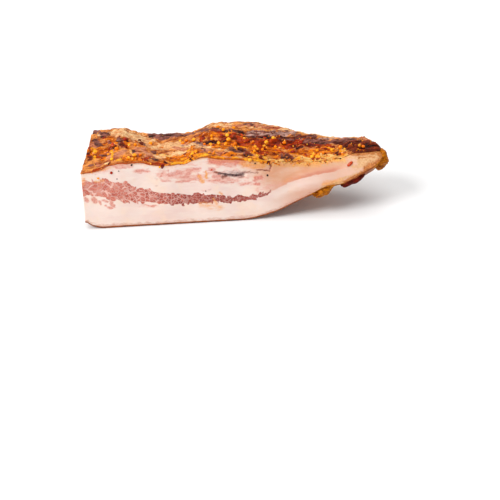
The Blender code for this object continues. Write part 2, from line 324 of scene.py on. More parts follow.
    def sole(self, x: Array, t: Array) -> Array:
        """The underside, from the heel under the back to the front corner.

        Args:
            x: Places along the slab.
            t: Shares of the way, from 0 at the heel.

        Returns:
            The places.
        """
        front_y, front_z = self.corner(x)
        heel_y = np.minimum(read_curve(self.back_depth, x) - self.back_tuck, self.heel)
        y = heel_y + (front_y - heel_y) * t
        z = front_z * (self.back_lift + (1 - self.back_lift) * t)
        return np.stack(np.broadcast_arrays(x, y, z), -1)

    def back(self, x: Array, t: Array) -> Array:
        """The rounded back, from the shoulder down to the heel.

        Args:
            x: Places along the slab.
            t: Shares of the way, from 0 at the shoulder.

        Returns:
            The places.
        """
        start, end = self.crust(x, np.ones_like(t)), self.sole(x, np.zeros_like(t))
        bulge = read_curve(self.back_depth, x) + self.back_bulge
        (_, start_y, start_z), (_, end_y, end_z) = np.moveaxis(start, -1, 0), np.moveaxis(end, -1, 0)
        s = 1 - t
        weights = s ** 3, 3 * s * s * t, 3 * s * t * t, t ** 3
        y = sum(w * v for w, v in zip(weights, (start_y, bulge, bulge, end_y)))
        z = sum(w * v for w, v in zip(weights, (start_z, start_z - self.back_drop, end_z, end_z)))
        roll = bumps(x / self.lump.along, t * self.roll_turns, self.roll_seat)
        y = y + roll * self.lump.height * np.sin(t * math.pi)
        return np.stack(np.broadcast_arrays(x, y, z), -1)

    def placed(self, points: Array) -> Array:
        """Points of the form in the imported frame, with the tail rounded off and the cut end leaned.

        Args:
            points: (x, y, z) places, in the slab's millimetres.

        Returns:
            The same places in metres.
        """
        x, y, z = np.moveaxis(np.asarray(points, float), -1, 0)
        t = np.clip((x - self.tail_x) / (self.tip_x - self.tail_x), 0, 1)
        size = np.maximum((1 - t ** self.tail_power) ** self.tail_round, self.tail_least)
        y = self.tail_centre_y + (y - self.tail_centre_y) * size
        z = self.tail_centre_z + (z - self.tail_centre_z) * size
        lean = 1 - ease((x - self.end_x) / self.skew_reach)
        x = x + (self.skew_y * y + self.skew_z * z) * lean
        return np.stack((x - self.centre_x, y - self.centre_y, z), -1) * MM

    def stations(self, count: int, tail_count: int, proud: float = 0.0) -> Array:
        """Places along the slab for a mesh's sections, closer together round the blunt tail.

        Args:
            count: Sections before the tail.
            tail_count: Sections round the tail.
            proud: How far the first one stands out of the cut end.

        Returns:
            The places, from the cut end on.
        """
        body = np.linspace(self.end_x, self.tail_x, count, endpoint=False)
        body[0] -= proud
        turn = np.linspace(0, math.pi / 2, tail_count + 1)
        return np.concatenate((body, self.tail_x + (self.tip_x - self.tail_x) * np.sin(turn)))


JOWL = Jowl()


# ---------------- meshes


def surface_normals(grid: Array) -> Array:
    """Unit normals of a grid of points, stations by section, that face the same way as its loft."""
    normal = np.cross(np.gradient(grid, axis=0), np.gradient(grid, axis=1))
    return normal / np.maximum(np.linalg.norm(normal, axis=-1, keepdims=True), TINY)


def loft_faces(stations: int, around: int) -> Array:
    """Quads between the rings of a closed loft.

    Args:
        stations: How many rings there are.
        around: How many vertices a ring has.

    Returns:
        Four vertex numbers for each quad.
    """
    i = np.arange(stations - 1)[:, None] * around
    j = np.arange(around)[None, :]
    k = (j + 1) % around
    return np.stack((i + j, i + around + j, i + around + k, i + k), -1).reshape(-1, 4)


def make_object(name: str, places: Array, faces: Faces, skin: Skin) -> Piece:
    """A smooth mesh object in the scene.

    Args:
        name: The piece's name.
        places: Its vertices, in metres.
        faces: Its faces, as lists of vertex numbers.
        skin: Its material.

    Returns:
        The piece.
    """
    mesh = bpy.data.meshes.new(name)
    mesh.from_pydata(places.reshape(-1, 3).tolist(), [], faces)
    mesh.validate()
    mesh.shade_smooth()
    mesh.materials.append(skin)
    piece = bpy.data.objects.new(name, mesh)
    bpy.context.scene.collection.objects.link(piece)
    return piece


def make_shell(name: str, rings: Array, skin: Skin) -> Piece:
    """A closed loft with both its ends shut.

    Args:
        name: The piece's name.
        rings: Its sections, station by station, in the slab's millimetres.
        skin: Its material.

    Returns:
        The piece.
    """
    count, around = rings.shape[:2]
    faces = loft_faces(count, around).tolist()
    faces.append(list(range(around)))
    faces.append(list(range((count - 1) * around, count * around))[::-1])
    return make_object(name, JOWL.placed(rings), faces, skin)


def give(mesh: bpy.types.Mesh, name: str, *values: Array) -> None:
    """Stores one or three numbers for each vertex, for a material or a node tree to read.

    Args:
        mesh: The mesh.
        name: What they are stored under.
        *values: The numbers, as one array, or as three for a vector.
    """
    kind, field = ("FLOAT", "value") if len(values) == 1 else ("FLOAT_VECTOR", "vector")
    layer = mesh.attributes.new(name, kind, "POINT")
    layer.data.foreach_set(field, np.stack(values, -1).astype(np.float32).ravel())


def finish_piece(piece: Piece, slot: str) -> Piece:
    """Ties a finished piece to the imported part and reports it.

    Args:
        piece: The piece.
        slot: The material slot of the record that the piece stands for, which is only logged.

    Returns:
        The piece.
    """
    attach(piece, BODY)
    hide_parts(NODE)
    LOG.info("%s: %d faces, slot %s", piece.name, len(piece.data.polygons), slot)
    return piece


# ---------------- node building


def linear(red: int, green: int, blue: int) -> Colour:
    """A screen colour, 0 to 255 on the standard screen curve, in the renderer's linear numbers."""
    shares = (red / 255, green / 255, blue / 255)
    return tuple(((c + 0.055) / 1.055) ** 2.4 if c > 0.04 else c / 12.92 for c in shares)


@dataclass(frozen=True)
class Clouds:
    """The grain of a noise: how fine, detailed, rough, twisted, stretched and moved it is."""

    scale: float | Socket = 1.0
    detail: float = 2.0
    rough: float = 0.5
    twist: float = 0.0
    stretch: Triple | None = None
    move: float = 0.0


@dataclass(frozen=True)
class Fade:
    """Where something starts to show, where it is full and how much of it there is then."""

    start: float
    full: float
    share: float = 1.0


class Graph:
    """Adds nodes to one tree and links them."""

    def __init__(self, tree: Tree) -> None:
        """Keeps the tree."""
        self.tree = tree

    def add(self, kind: str, **settings: object) -> Node:
        """A new node.

        Args:
            kind: Its type.
            **settings: Its settings by name.

        Returns:
            The node.
        """
        node = self.tree.nodes.new(kind)
        for key, value in settings.items():
            setattr(node, key, value)
        return node

    def put(self, socket: Socket, value: object) -> None:
        """Fills one input.

        Args:
            socket: The input.
            value: An output to link into it, or the value to set.
        """
        if isinstance(value, bpy.types.NodeSocket):
            self.tree.links.new(value, socket)
        elif isinstance(value, tuple) and socket.type == "RGBA":
            socket.default_value = (*value, 1)
        else:
            socket.default_value = value

    def feed(self, node: Node, **values: object) -> Node:
        """Fills inputs of a node.

        Args:
            node: The node.
            **values: What goes into each, by its name with underscores for spaces.

        Returns:
            The node.
        """
        for key, value in values.items():
            self.put(node.inputs[key.replace("_", " ")], value)
        return node

    def pair(self, node: Node, first: object, second: object) -> Socket:
        """Fills a node's first two inputs.

        Args:
            node: The node.
            first: What goes into its first input.
            second: What goes into its second.

        Returns:
            The node's first output.
        """
        self.put(node.inputs[0], first)
        self.put(node.inputs[1], second)
        return node.outputs[0]

    def math(self, operation: str, first: object, second: object = 0.0, clamp: bool = False) -> Socket:
        """A sum of one or two numbers."""
        return self.pair(self.add("ShaderNodeMath", operation=operation, use_clamp=clamp), first, second)

    def plus(self, first: object, second: object) -> Socket:
        """One number and another."""
        return self.math("ADD", first, second)

    def minus(self, first: object, second: object) -> Socket:
        """One number less another."""
        return self.math("SUBTRACT", first, second)

    def times(self, first: object, second: object) -> Socket:
        """One number times another."""
        return self.math("MULTIPLY", first, second)

    def most(self, first: object, second: object) -> Socket:
        """The greater of two numbers."""
        return self.math("MAXIMUM", first, second)

    def swing(self, cloud: Socket, reach: object) -> Socket:
        """A noise from 0 to 1, as a number that goes half its reach to either side of 0."""
        return self.times(self.minus(cloud, 0.5), reach)

    def vector(self, operation: str, first: object, second: object) -> Socket:
        """A sum of two vectors."""
        return self.pair(self.add("ShaderNodeVectorMath", operation=operation), first, second)

    def scaled(self, vector: Socket, by: Socket) -> Socket:
        """A vector made longer or shorter."""
        node = self.add("ShaderNodeVectorMath", operation="SCALE")
        return self.feed(node, Vector=vector, Scale=by).outputs[0]

    def joined(self, x: object, y: object, z: object) -> Socket:
        """A vector of three numbers."""
        return self.feed(self.add("ShaderNodeCombineXYZ"), X=x, Y=y, Z=z).outputs[0]

    def split(self, vector: Socket) -> tuple[Socket, Socket, Socket]:
        """The three numbers of a vector."""
        return tuple(self.feed(self.add("ShaderNodeSeparateXYZ"), Vector=vector).outputs)

    def blend(self, share: object, first: object, second: object) -> Socket:
        """A colour between two others.

        Args:
            share: How much there is of the second, from 0 to 1.
            first: One colour.
            second: The other.

        Returns:
            The blended colour.
        """
        node = self.add("ShaderNodeMix", data_type="RGBA", clamp_factor=True)
        colours = [socket for socket in node.inputs if socket.type == "RGBA"]
        for socket, value in zip((node.inputs[0], *colours), (share, first, second)):
            self.put(socket, value)
        return next(socket for socket in node.outputs if socket.type == "RGBA")

    def step(self, value: object, low: float, high: float, to: Span = (0.0, 1.0)) -> Socket:
        """A soft step.

        Args:
            value: What is measured.
            low: Where the step starts.
            high: Where it ends.
            to: What it gives before and after.

        Returns:
            The number.
        """
        node = self.add("ShaderNodeMapRange", interpolation_type="SMOOTHSTEP", clamp=True)
        for socket, number in zip(node.inputs[:5], (value, low, high, *to)):
            self.put(socket, number)
        return node.outputs[0]

    def fade(self, value: object, fade: Fade) -> Socket:
        """How much of something shows at each place."""
        shown = self.step(value, fade.start, fade.full)
        return shown if fade.share == 1.0 else self.times(shown, fade.share)

    def clouds(self, where: Socket, grain: Clouds) -> Node:
        """A noise.

        Args:
            where: The places it is read at.
            grain: What it is like.

        Returns:
            The noise node, which gives a number and a colour.
        """
        if grain.stretch is not None:
            where = self.stretch(where, grain.stretch, grain.move)
        node = self.add("ShaderNodeTexNoise", noise_dimensions="3D")
        return self.feed(node, Vector=where, Scale=grain.scale, Detail=grain.detail, Roughness=grain.rough,
                         Distortion=grain.twist)

    def noise(self, where: Socket, grain: Clouds) -> Socket:
        """Cloudy noise from 0 to 1."""
        return self.clouds(where, grain).outputs["Fac"]

    def cells(self, where: Socket, feature: str, scale: float, loose: float = 1, space: str = "3D") -> Node:
        """Cells of a Voronoi pattern."""
        node = self.add("ShaderNodeTexVoronoi", voronoi_dimensions=space, feature=feature)
        return self.feed(node, Vector=where, Scale=scale, Randomness=loose)

    def attribute(self, name: str) -> Socket:
        """Three numbers stored on the piece."""
        return self.add("ShaderNodeAttribute", attribute_name=name).outputs["Vector"]

    def number(self, name: str) -> Socket:
        """One number stored on the piece."""
        return self.add("ShaderNodeAttribute", attribute_name=name).outputs["Fac"]

    def stretch(self, where: Socket, by: Triple, move: float = 0.0) -> Socket:
        """A vector with each of its numbers multiplied, then moved."""
        node = self.feed(self.add("ShaderNodeMapping"), Vector=where, Location=(move,) * 3, Scale=by)
        return node.outputs[0]

    def millimetres(self) -> Socket:
        """Object coordinates in millimetres."""
        return self.stretch(self.add("ShaderNodeTexCoord").outputs["Object"], (1 / MM,) * 3)

    def bump(self, height: Socket, distance: float, strength: float) -> Socket:
        """A normal that a height tips, with its distance in millimetres."""
        node = self.feed(self.add("ShaderNodeBump"), Height=height, Distance=distance * MM, Strength=strength)
        return node.outputs[0]

    def use(self, group: Tree, **values: object) -> dict[str, Socket]:
        """Places a node group with what goes into its inputs, and gives its outputs, all by name."""
        node = self.feed(self.add("ShaderNodeGroup", node_tree=group), **values)
        return {socket.name: socket for socket in node.outputs}


Recipe = Callable[[Graph], Painted]


@dataclass(frozen=True)
class Strands:
    """How closely fibres lie along the slab and across it."""

    along: float
    across: float

    def read(self, g: Graph, fibres: Tree, where: Socket) -> dict[str, Socket]:
        """The fibre group's outputs at each place."""
        return g.use(fibres, Vector=where, Along=self.along, Across=self.across)


@dataclass(frozen=True)
class Wetness:
    """How rough a surface is where it is waxy and where it is wet, and how fine its wet spots are."""

    waxy: float
    wet: float
    spots: float

    def read(self, g: Graph, moist: Tree, where: Socket) -> Socket:
        """The roughness at each place."""
        return g.use(moist, Vector=where, Waxy=self.waxy, Wet=self.wet, Spots=self.spots)["Roughness"]


@dataclass(frozen=True)
class Finish:
    """A surface of the Principled kind: the numbers that are the same all over it."""

    name: str
    roughness: float = 0.45
    specular: float = 0.5
    coat: float = 0.0
    coat_roughness: float = 0.2
    depth: float = 0.0
    depth_colour: Colour = (1.0, 0.5, 0.35)
    depth_share: float = 0.0

    def dress(self, paint: Recipe) -> Skin:
        """Makes the material.

        Args:
            paint: Builds the pattern and returns its colour, roughness and normal.

        Returns:
            The finished material.
        """
        skin = bpy.data.materials.new(self.name)
        skin.use_nodes = True
        shader = skin.node_tree.nodes["Principled BSDF"]
        constants = {
            "Roughness": self.roughness,
            "Specular IOR Level": self.specular,
            "Coat Weight": self.coat,
            "Coat Roughness": self.coat_roughness,
            "Subsurface Weight": self.depth_share,
            "Subsurface Scale": self.depth * MM,
            "Subsurface Radius": self.depth_colour,
        }
        for key, value in constants.items():
            shader.inputs[key].default_value = value
        graph = Graph(skin.node_tree)
        colour, roughness, normal = paint(graph)
        for key, socket in (("Base Color", colour), ("Roughness", roughness), ("Normal", normal)):
            if socket is not None:
                graph.put(shader.inputs[key], socket)
        return skin


def new_group(name: str, inputs: dict[str, float], outputs: Sequence[str]) -> tuple[Graph, Node, Node]:
    """An empty shader node group for a pattern.

    Args:
        name: The group's name.
        inputs: The default of each number that it takes beside the vector.
        outputs: The names of the numbers that it gives.

    Returns:
        The graph to fill it with, its input node and its output node.
    """
    tree = bpy.data.node_groups.new(name, "ShaderNodeTree")
    tree.interface.new_socket("Vector", in_out="INPUT", socket_type="NodeSocketVector")
    for key, default in inputs.items():
        tree.interface.new_socket(key, in_out="INPUT", socket_type="NodeSocketFloat").default_value = default
    for key in outputs:
        tree.interface.new_socket(key, in_out="OUTPUT", socket_type="NodeSocketFloat")
    graph = Graph(tree)
    return graph, graph.add("NodeGroupInput"), graph.add("NodeGroupOutput")


def fibre_group() -> Tree:
    """Lengthwise fibres and the blotches between them.

    Returns:
        The group: masks for colour, and a height.
    """
    strand_grain, fine_grain = Clouds(1.0, 5, 0.62, 0.6), Clouds(3.1, 3, 0.6)
    blotch_grain = Clouds(0.16, 4, 0.6, 0.4)
    strand_span, blotch_span, fine_share = (0.36, 0.64), (0.3, 0.7), 0.35
    graph, given, out = new_group("fibres", {"Along": 0.1, "Across": 0.8}, ("Strands", "Blotches", "Height"))
    along, across = given.outputs["Along"], given.outputs["Across"]
    where = graph.vector("MULTIPLY", given.outputs["Vector"], graph.joined(along, across, across))
    strands = graph.noise(where, strand_grain)
    blotches = graph.noise(given.outputs["Vector"], blotch_grain)
    height = graph.plus(strands, graph.times(graph.noise(where, fine_grain), fine_share))
    graph.feed(out, Strands=graph.step(strands, *strand_span), Blotches=graph.step(blotches, *blotch_span),
               Height=height)
    return graph.tree


def moist_group() -> Tree:
    """How rough a surface is that is wet in spots and waxy between them.

    Returns:
        The group: a roughness.
    """
    spot_detail, spot_span = 4.0, (0.38, 0.62)
    graph, given, out = new_group("moist", {"Waxy": 0.5, "Wet": 0.25, "Spots": 0.3}, ("Roughness",))
    waxy, wet = given.outputs["Waxy"], given.outputs["Wet"]
    spots = graph.noise(given.outputs["Vector"], Clouds(given.outputs["Spots"], spot_detail))
    share = graph.step(spots, *spot_span)
    graph.feed(out, Roughness=graph.plus(waxy, graph.times(share, graph.minus(wet, waxy))))
    return graph.tree


# ---------------- the cut meat


@dataclass(frozen=True)
class Streak:
    """The lean streak on the cut face: its top and bottom along x, and the size of its bundles."""

    top: Curve = (
        (4, 43), (12, 43.6), (24, 42.8), (30, 41), (36, 40.4), (46, 34.6), (54, 32.8), (64, 30.4), (74, 27.8),
        (86, 26.4), (98, 25.8), (107, 24.4), (121, 22.2), (137, 23.6), (149, 25.4))
    bottom: Curve = (
        (4, 30.2), (17, 29.4), (21, 28), (28, 25.4), (37, 23.2), (45, 21.6), (55, 20.8), (65, 19.4),
        (74, 18.4), (84, 17.6), (94, 18.4), (107, 18.4), (120, 17.4), (132, 18.6), (142, 21.2), (149, 25))
    end_x: float = 150.0
    knot_end: float = 260.0
    knots: int = 521
    bundle: Curve = ((4, 3.7), (30, 3.3), (60, 2.9), (90, 2.3), (150, 1.9))
    bundle_flat: float = 0.86
    bundle_deep: float = 4.0
    open_gaps: Curve = ((4, 0.45), (30, 0.55), (44, 0.8), (70, 0.65), (92, 0.36), (150, 0.3))
    redder: Span = (20.0, 80.0)

    def fascicle(self, points: Array) -> tuple[tuple[Array, ...], tuple[Array, ...]]:
        """Coordinates in which each bundle of the streak is about one unit wide.

        Args:
            points: (x, y, z) places, in the slab's millimetres.

        Returns:
            The coordinates, and for each place half the streak's height in bundles, how far the gaps
            between its bundles stand open and how deep its red is.
        """
        x, y, z = points.T
        knots = np.linspace(0, self.knot_end, self.knots)
        size_at = read_curve(self.bundle, knots)
        run = np.concatenate(([0], np.cumsum(np.diff(knots) / size_at[1:])))
        top, bottom = read_curve(self.top, x), read_curve(self.bottom, x)
        tall = read_curve(self.bundle, x) * self.bundle_flat
        half = np.where(x > self.end_x, -1, (top - bottom) / 2 / tall)
        across, up = np.interp(x, knots, run) + y / self.bundle_deep, (z - (top + bottom) / 2) / tall
        return (across, up, 0 * x), (half, read_curve(self.open_gaps, x), ramp(x, *self.redder))


@dataclass(frozen=True)
class Mark:
    """A kind of mark on the cut face: where it lies, how ragged and soft its edge is, how much it covers."""

    name: str
    strokes: tuple[Stroke, ...]
    rag: float
    edge: Fade
    light: Colour
    dark: Colour


HAZE = Mark("haze", strokes(
    (62, 45.5, 79, 44.5, 3.6, 0.9), (70, 40.5, 80, 40.5, 2.2, 0.5), (80, 47, 92, 47, 3.2, 0.9),
    (78, 42, 94, 41.5, 3.6, 1), (92, 44, 100, 40, 3.2, 0.7), (100, 45, 110, 42, 3.2, 0.9),
    (100, 38.4, 112, 37.4, 2.6, 0.8), (108, 38.5, 122, 36.5, 3.2, 0.9), (112, 47, 122, 46, 2.0, 0.5),
    (120, 40, 130, 40, 2.4, 0.6), (124, 34, 134, 35, 2.2, 0.6), (133, 34, 141, 37.5, 3.0, 0.7),
    (45, 49.6, 54, 49.4, 2.2, 0.7), (66, 52, 84, 52.5, 1.8, 0.4), (86, 53, 100, 55, 2.4, 0.45),
    (29, 55, 42, 54.2, 2.1, 1.1), (12, 50, 28, 52.4, 1.2, 0.6), (46, 18.8, 60, 17.8, 1.4, 0.7),
    (138, 28, 154, 31, 2.6, 0.6), (95, 29.5, 99, 29.5, 1.4, 0.6), (140, 46, 147, 45, 1.4, 0.6)),
    2.6, Fade(0.15, 0.95, 0.8), linear(234, 182, 166), linear(222, 156, 140))
ROSY = Mark("rosy", strokes(
    (103, 56, 113, 55, 3.4, 1.3), (111, 54.8, 127, 52.8, 2.6, 1.05), (107, 52, 120, 51, 2.4, 0.75),
    (122, 51.4, 134, 49, 2.2, 0.5), (16, 51.4, 30, 54, 1.1, 0.4), (136, 38, 140, 38.5, 1.8, 1),
    (136, 33.5, 138, 33, 1.6, 0.8)),
    1.5, Fade(0.05, 0.95, 0.95), linear(228, 142, 116), linear(206, 108, 88))
LOOPS = Mark("loops", strokes(
    (29.4, 55.4, 31, 53.6, 1.1, 0.9), (31, 53.2, 41, 53, 0.9, 0.8), (33.4, 56, 36.4, 54, 1.0, 0.7),
    (14, 48.4, 24, 50.6, 0.8, 0.5), (46, 49.6, 53, 49.5, 1.5, 0.95), (46, 48.2, 50, 48.2, 1.1, 0.6),
    (65.5, 47.5, 64, 44, 1.3, 0.8), (63, 43, 65, 40, 1.3, 0.8), (65, 39.8, 71, 39.6, 1.2, 0.75),
    (69.5, 49, 70.4, 45, 1.2, 0.9), (70, 45, 79, 46, 1.9, 1), (72, 47.6, 79, 46.8, 1.3, 0.8),
    (84.5, 48.8, 94, 49.2, 1.3, 1), (86.6, 48.5, 85, 45, 1.9, 0.95), (85, 45, 80, 42, 1.6, 0.9),
    (79, 42.2, 85, 42.6, 1.5, 0.95), (75.5, 38.6, 84, 38.4, 1.4, 0.95), (84, 39.5, 92, 40.4, 1.4, 0.8),
    (92, 45, 93.5, 38, 1.2, 0.75), (101.4, 48, 103.8, 47.8, 1.8, 1.4),
    (103, 41.8, 108.5, 41.2, 1.3, 1.1), (101, 38.2, 108, 38, 1.1, 0.95), (109, 44, 112, 45.5, 1.0, 0.6),
    (110, 36.4, 119, 34.8, 1.2, 0.85), (114, 38.5, 120, 37, 1.2, 0.7), (120, 41, 125, 40.2, 0.9, 0.9),
    (125, 32.6, 130, 33.4, 1.2, 0.85), (130, 33.4, 135, 36, 1.2, 0.85), (135, 36, 139.5, 38.6, 1.5, 1),
    (136, 33.6, 138.6, 32.8, 1.6, 1), (86, 36.8, 90, 37.2, 0.9, 0.6), (96, 46, 99, 47, 1, 0.6)),
    1.5, Fade(0.16, 1.0, 0.8), linear(226, 156, 140), linear(204, 122, 110))
STRAYS = Mark("strays", strokes(
    (5, 27.6, 6, 25.6, 1.7), (11, 26.6, 12, 24.8, 2.3, 1.2), (15.6, 24.6, 16, 21.8, 1.2),
    (18.4, 25.6, 21, 24.6, 1.3, 0.9), (23.4, 25.8, 25.4, 23.4, 1.3, 0.8), (20.2, 21, 21, 19.6, 1.3, 0.8),
    (24.4, 21.8, 25.8, 20.4, 1.9, 1.2), (21.8, 19.2, 24, 18.6, 1.5), (47, 19.4, 53, 18.9, 0.9, 0.7),
    (55, 18, 59, 18.2, 0.9, 0.7), (5.4, 44.6, 6.6, 42, 1.4, 0.8)),
    1.6, Fade(0.2, 0.85, 0.9), linear(228, 160, 142), linear(204, 124, 108))
STAINS = Mark("stains", strokes(
    (92.8, 42.6, 95.6, 37, 1.8, 1.0), (97.8, 46.5, 98.4, 40.5, 1.0, 1.15), (58, 55, 65, 53.6, 1.8, 1),
    (84, 55.5, 98, 58.5, 1.6, 0.7), (4, 41, 5, 45, 2.0, 0.8), (20, 42.5, 14, 42.5, 1.6, 0.7),
    (5, 50, 26, 53.4, 1.2, 0.8), (126, 51, 142, 48, 3.2, 0.9), (133, 53.6, 142, 51, 2.2, 1.2),
    (108, 27, 110, 25.4, 1.4, 0.9), (103, 21.5, 106, 16.5, 1.6, 0.8), (94, 17, 108, 13.5, 3.4, 0.7),
    (148, 48, 170, 44.5, 3.0, 0.7), (166, 45, 186, 43.6, 3.0, 0.85), (184, 45.2, 206, 46, 2.2, 1),
    (160, 33, 170, 34.5, 2.2, 0.4), (190, 29, 204, 31.4, 2.4, 0.9)),
    1.5, Fade(0.15, 1.1, 0.85), linear(242, 172, 88), linear(222, 136, 62))
TANS = Mark("tans", strokes(
    (219, 45.5, 236, 47.5, 4.2, 1.5), (213, 41, 224, 43.4, 3.0, 0.8), (204, 47.4, 218, 49, 2.4, 0.9),
    (188, 26, 204, 30.4, 1.8, 1), (202, 31.4, 218, 38, 1.5, 0.8), (204, 44, 214, 45.5, 3.0, 0.45)),
    2.4, Fade(0.05, 1.2, 0.85), linear(224, 182, 132), linear(200, 146, 88))
BARK = Mark("bark", strokes(
    (206, 30.8, 222, 39.4, 1.2, 1.4), (222, 40.4, 237, 47.2, 2.6, 1.5), (212, 49.2, 236, 49.8, 1.3, 1.2),
    (217, 47.4, 230, 47.8, 0.6, 0.9), (226, 45.2, 235, 47, 1.0, 0.7), (192, 27.4, 198, 28.6, 1.0, 1.1),
    (233, 49, 238, 48, 1.6, 1.2)),
    1.6, Fade(0.2, 1.1, 0.92), linear(206, 128, 58), linear(150, 76, 20))
CRACKS = Mark("cracks", strokes(
    (126, 43, 138, 42.8, 0.8, 0.9), (137, 45.4, 143, 44.6, 0.7, 1), (142, 44.6, 147.4, 42.8, 0.8, 1.05),
    (147.2, 50.4, 147.8, 46.4, 1.0, 1.2), (147.6, 46.6, 147.4, 43, 0.7, 1),
    (143.6, 50.4, 147, 49.8, 0.6, 0.7), (126, 44.4, 132, 44.4, 0.6, 0.8),
    (104.6, 45.6, 108.4, 44.2, 0.9, 1.2), (110.4, 40.2, 113.6, 40.6, 1.1, 1.3)),
    2.4, Fade(0.15, 1.15, 0.92), linear(176, 92, 64), linear(112, 40, 22))
# Painted grey shade round the fissure, and a few small grey spots on the fat.
SHADE_AND_SPOTS = Mark("shade_and_spots", strokes(
    (110, 44.6, 118, 44.4, 1.6, 0.9), (118, 43.8, 126.5, 43.4, 2.0, 1.1),
    (112, 41.8, 124, 40.4, 1.8, 0.9), (100, 30, 101, 30.6, 1, 0.7), (60, 43, 61, 42.6, 1.1, 0.7),
    (59.4, 36.4, 60.4, 36.4, 1.1, 0.6)),
    1.8, Fade(0.1, 1.1, 0.6), linear(204, 162, 156), linear(144, 100, 98))
# The fissure's near-black is painted shade in the crack, which carve also sinks into the face.
FISSURE = Mark("fissure", strokes(
    (108, 43.6, 112, 42.6, 1.0, 1.1), (112, 42.4, 119, 41.0, 1.5, 1.35),
    (118, 40.9, 126.5, 40.8, 1.4, 1.2), (122, 42.4, 126.6, 42.4, 0.9, 0.85),
    (119, 39.6, 124, 39.4, 0.8, 0.5)),
    3.0, Fade(0.2, 1.35, 0.95), linear(128, 88, 86), linear(16, 6, 10))
MARKS = (HAZE, ROSY, LOOPS, STRAYS, STAINS, TANS, BARK, CRACKS, SHADE_AND_SPOTS, FISSURE)


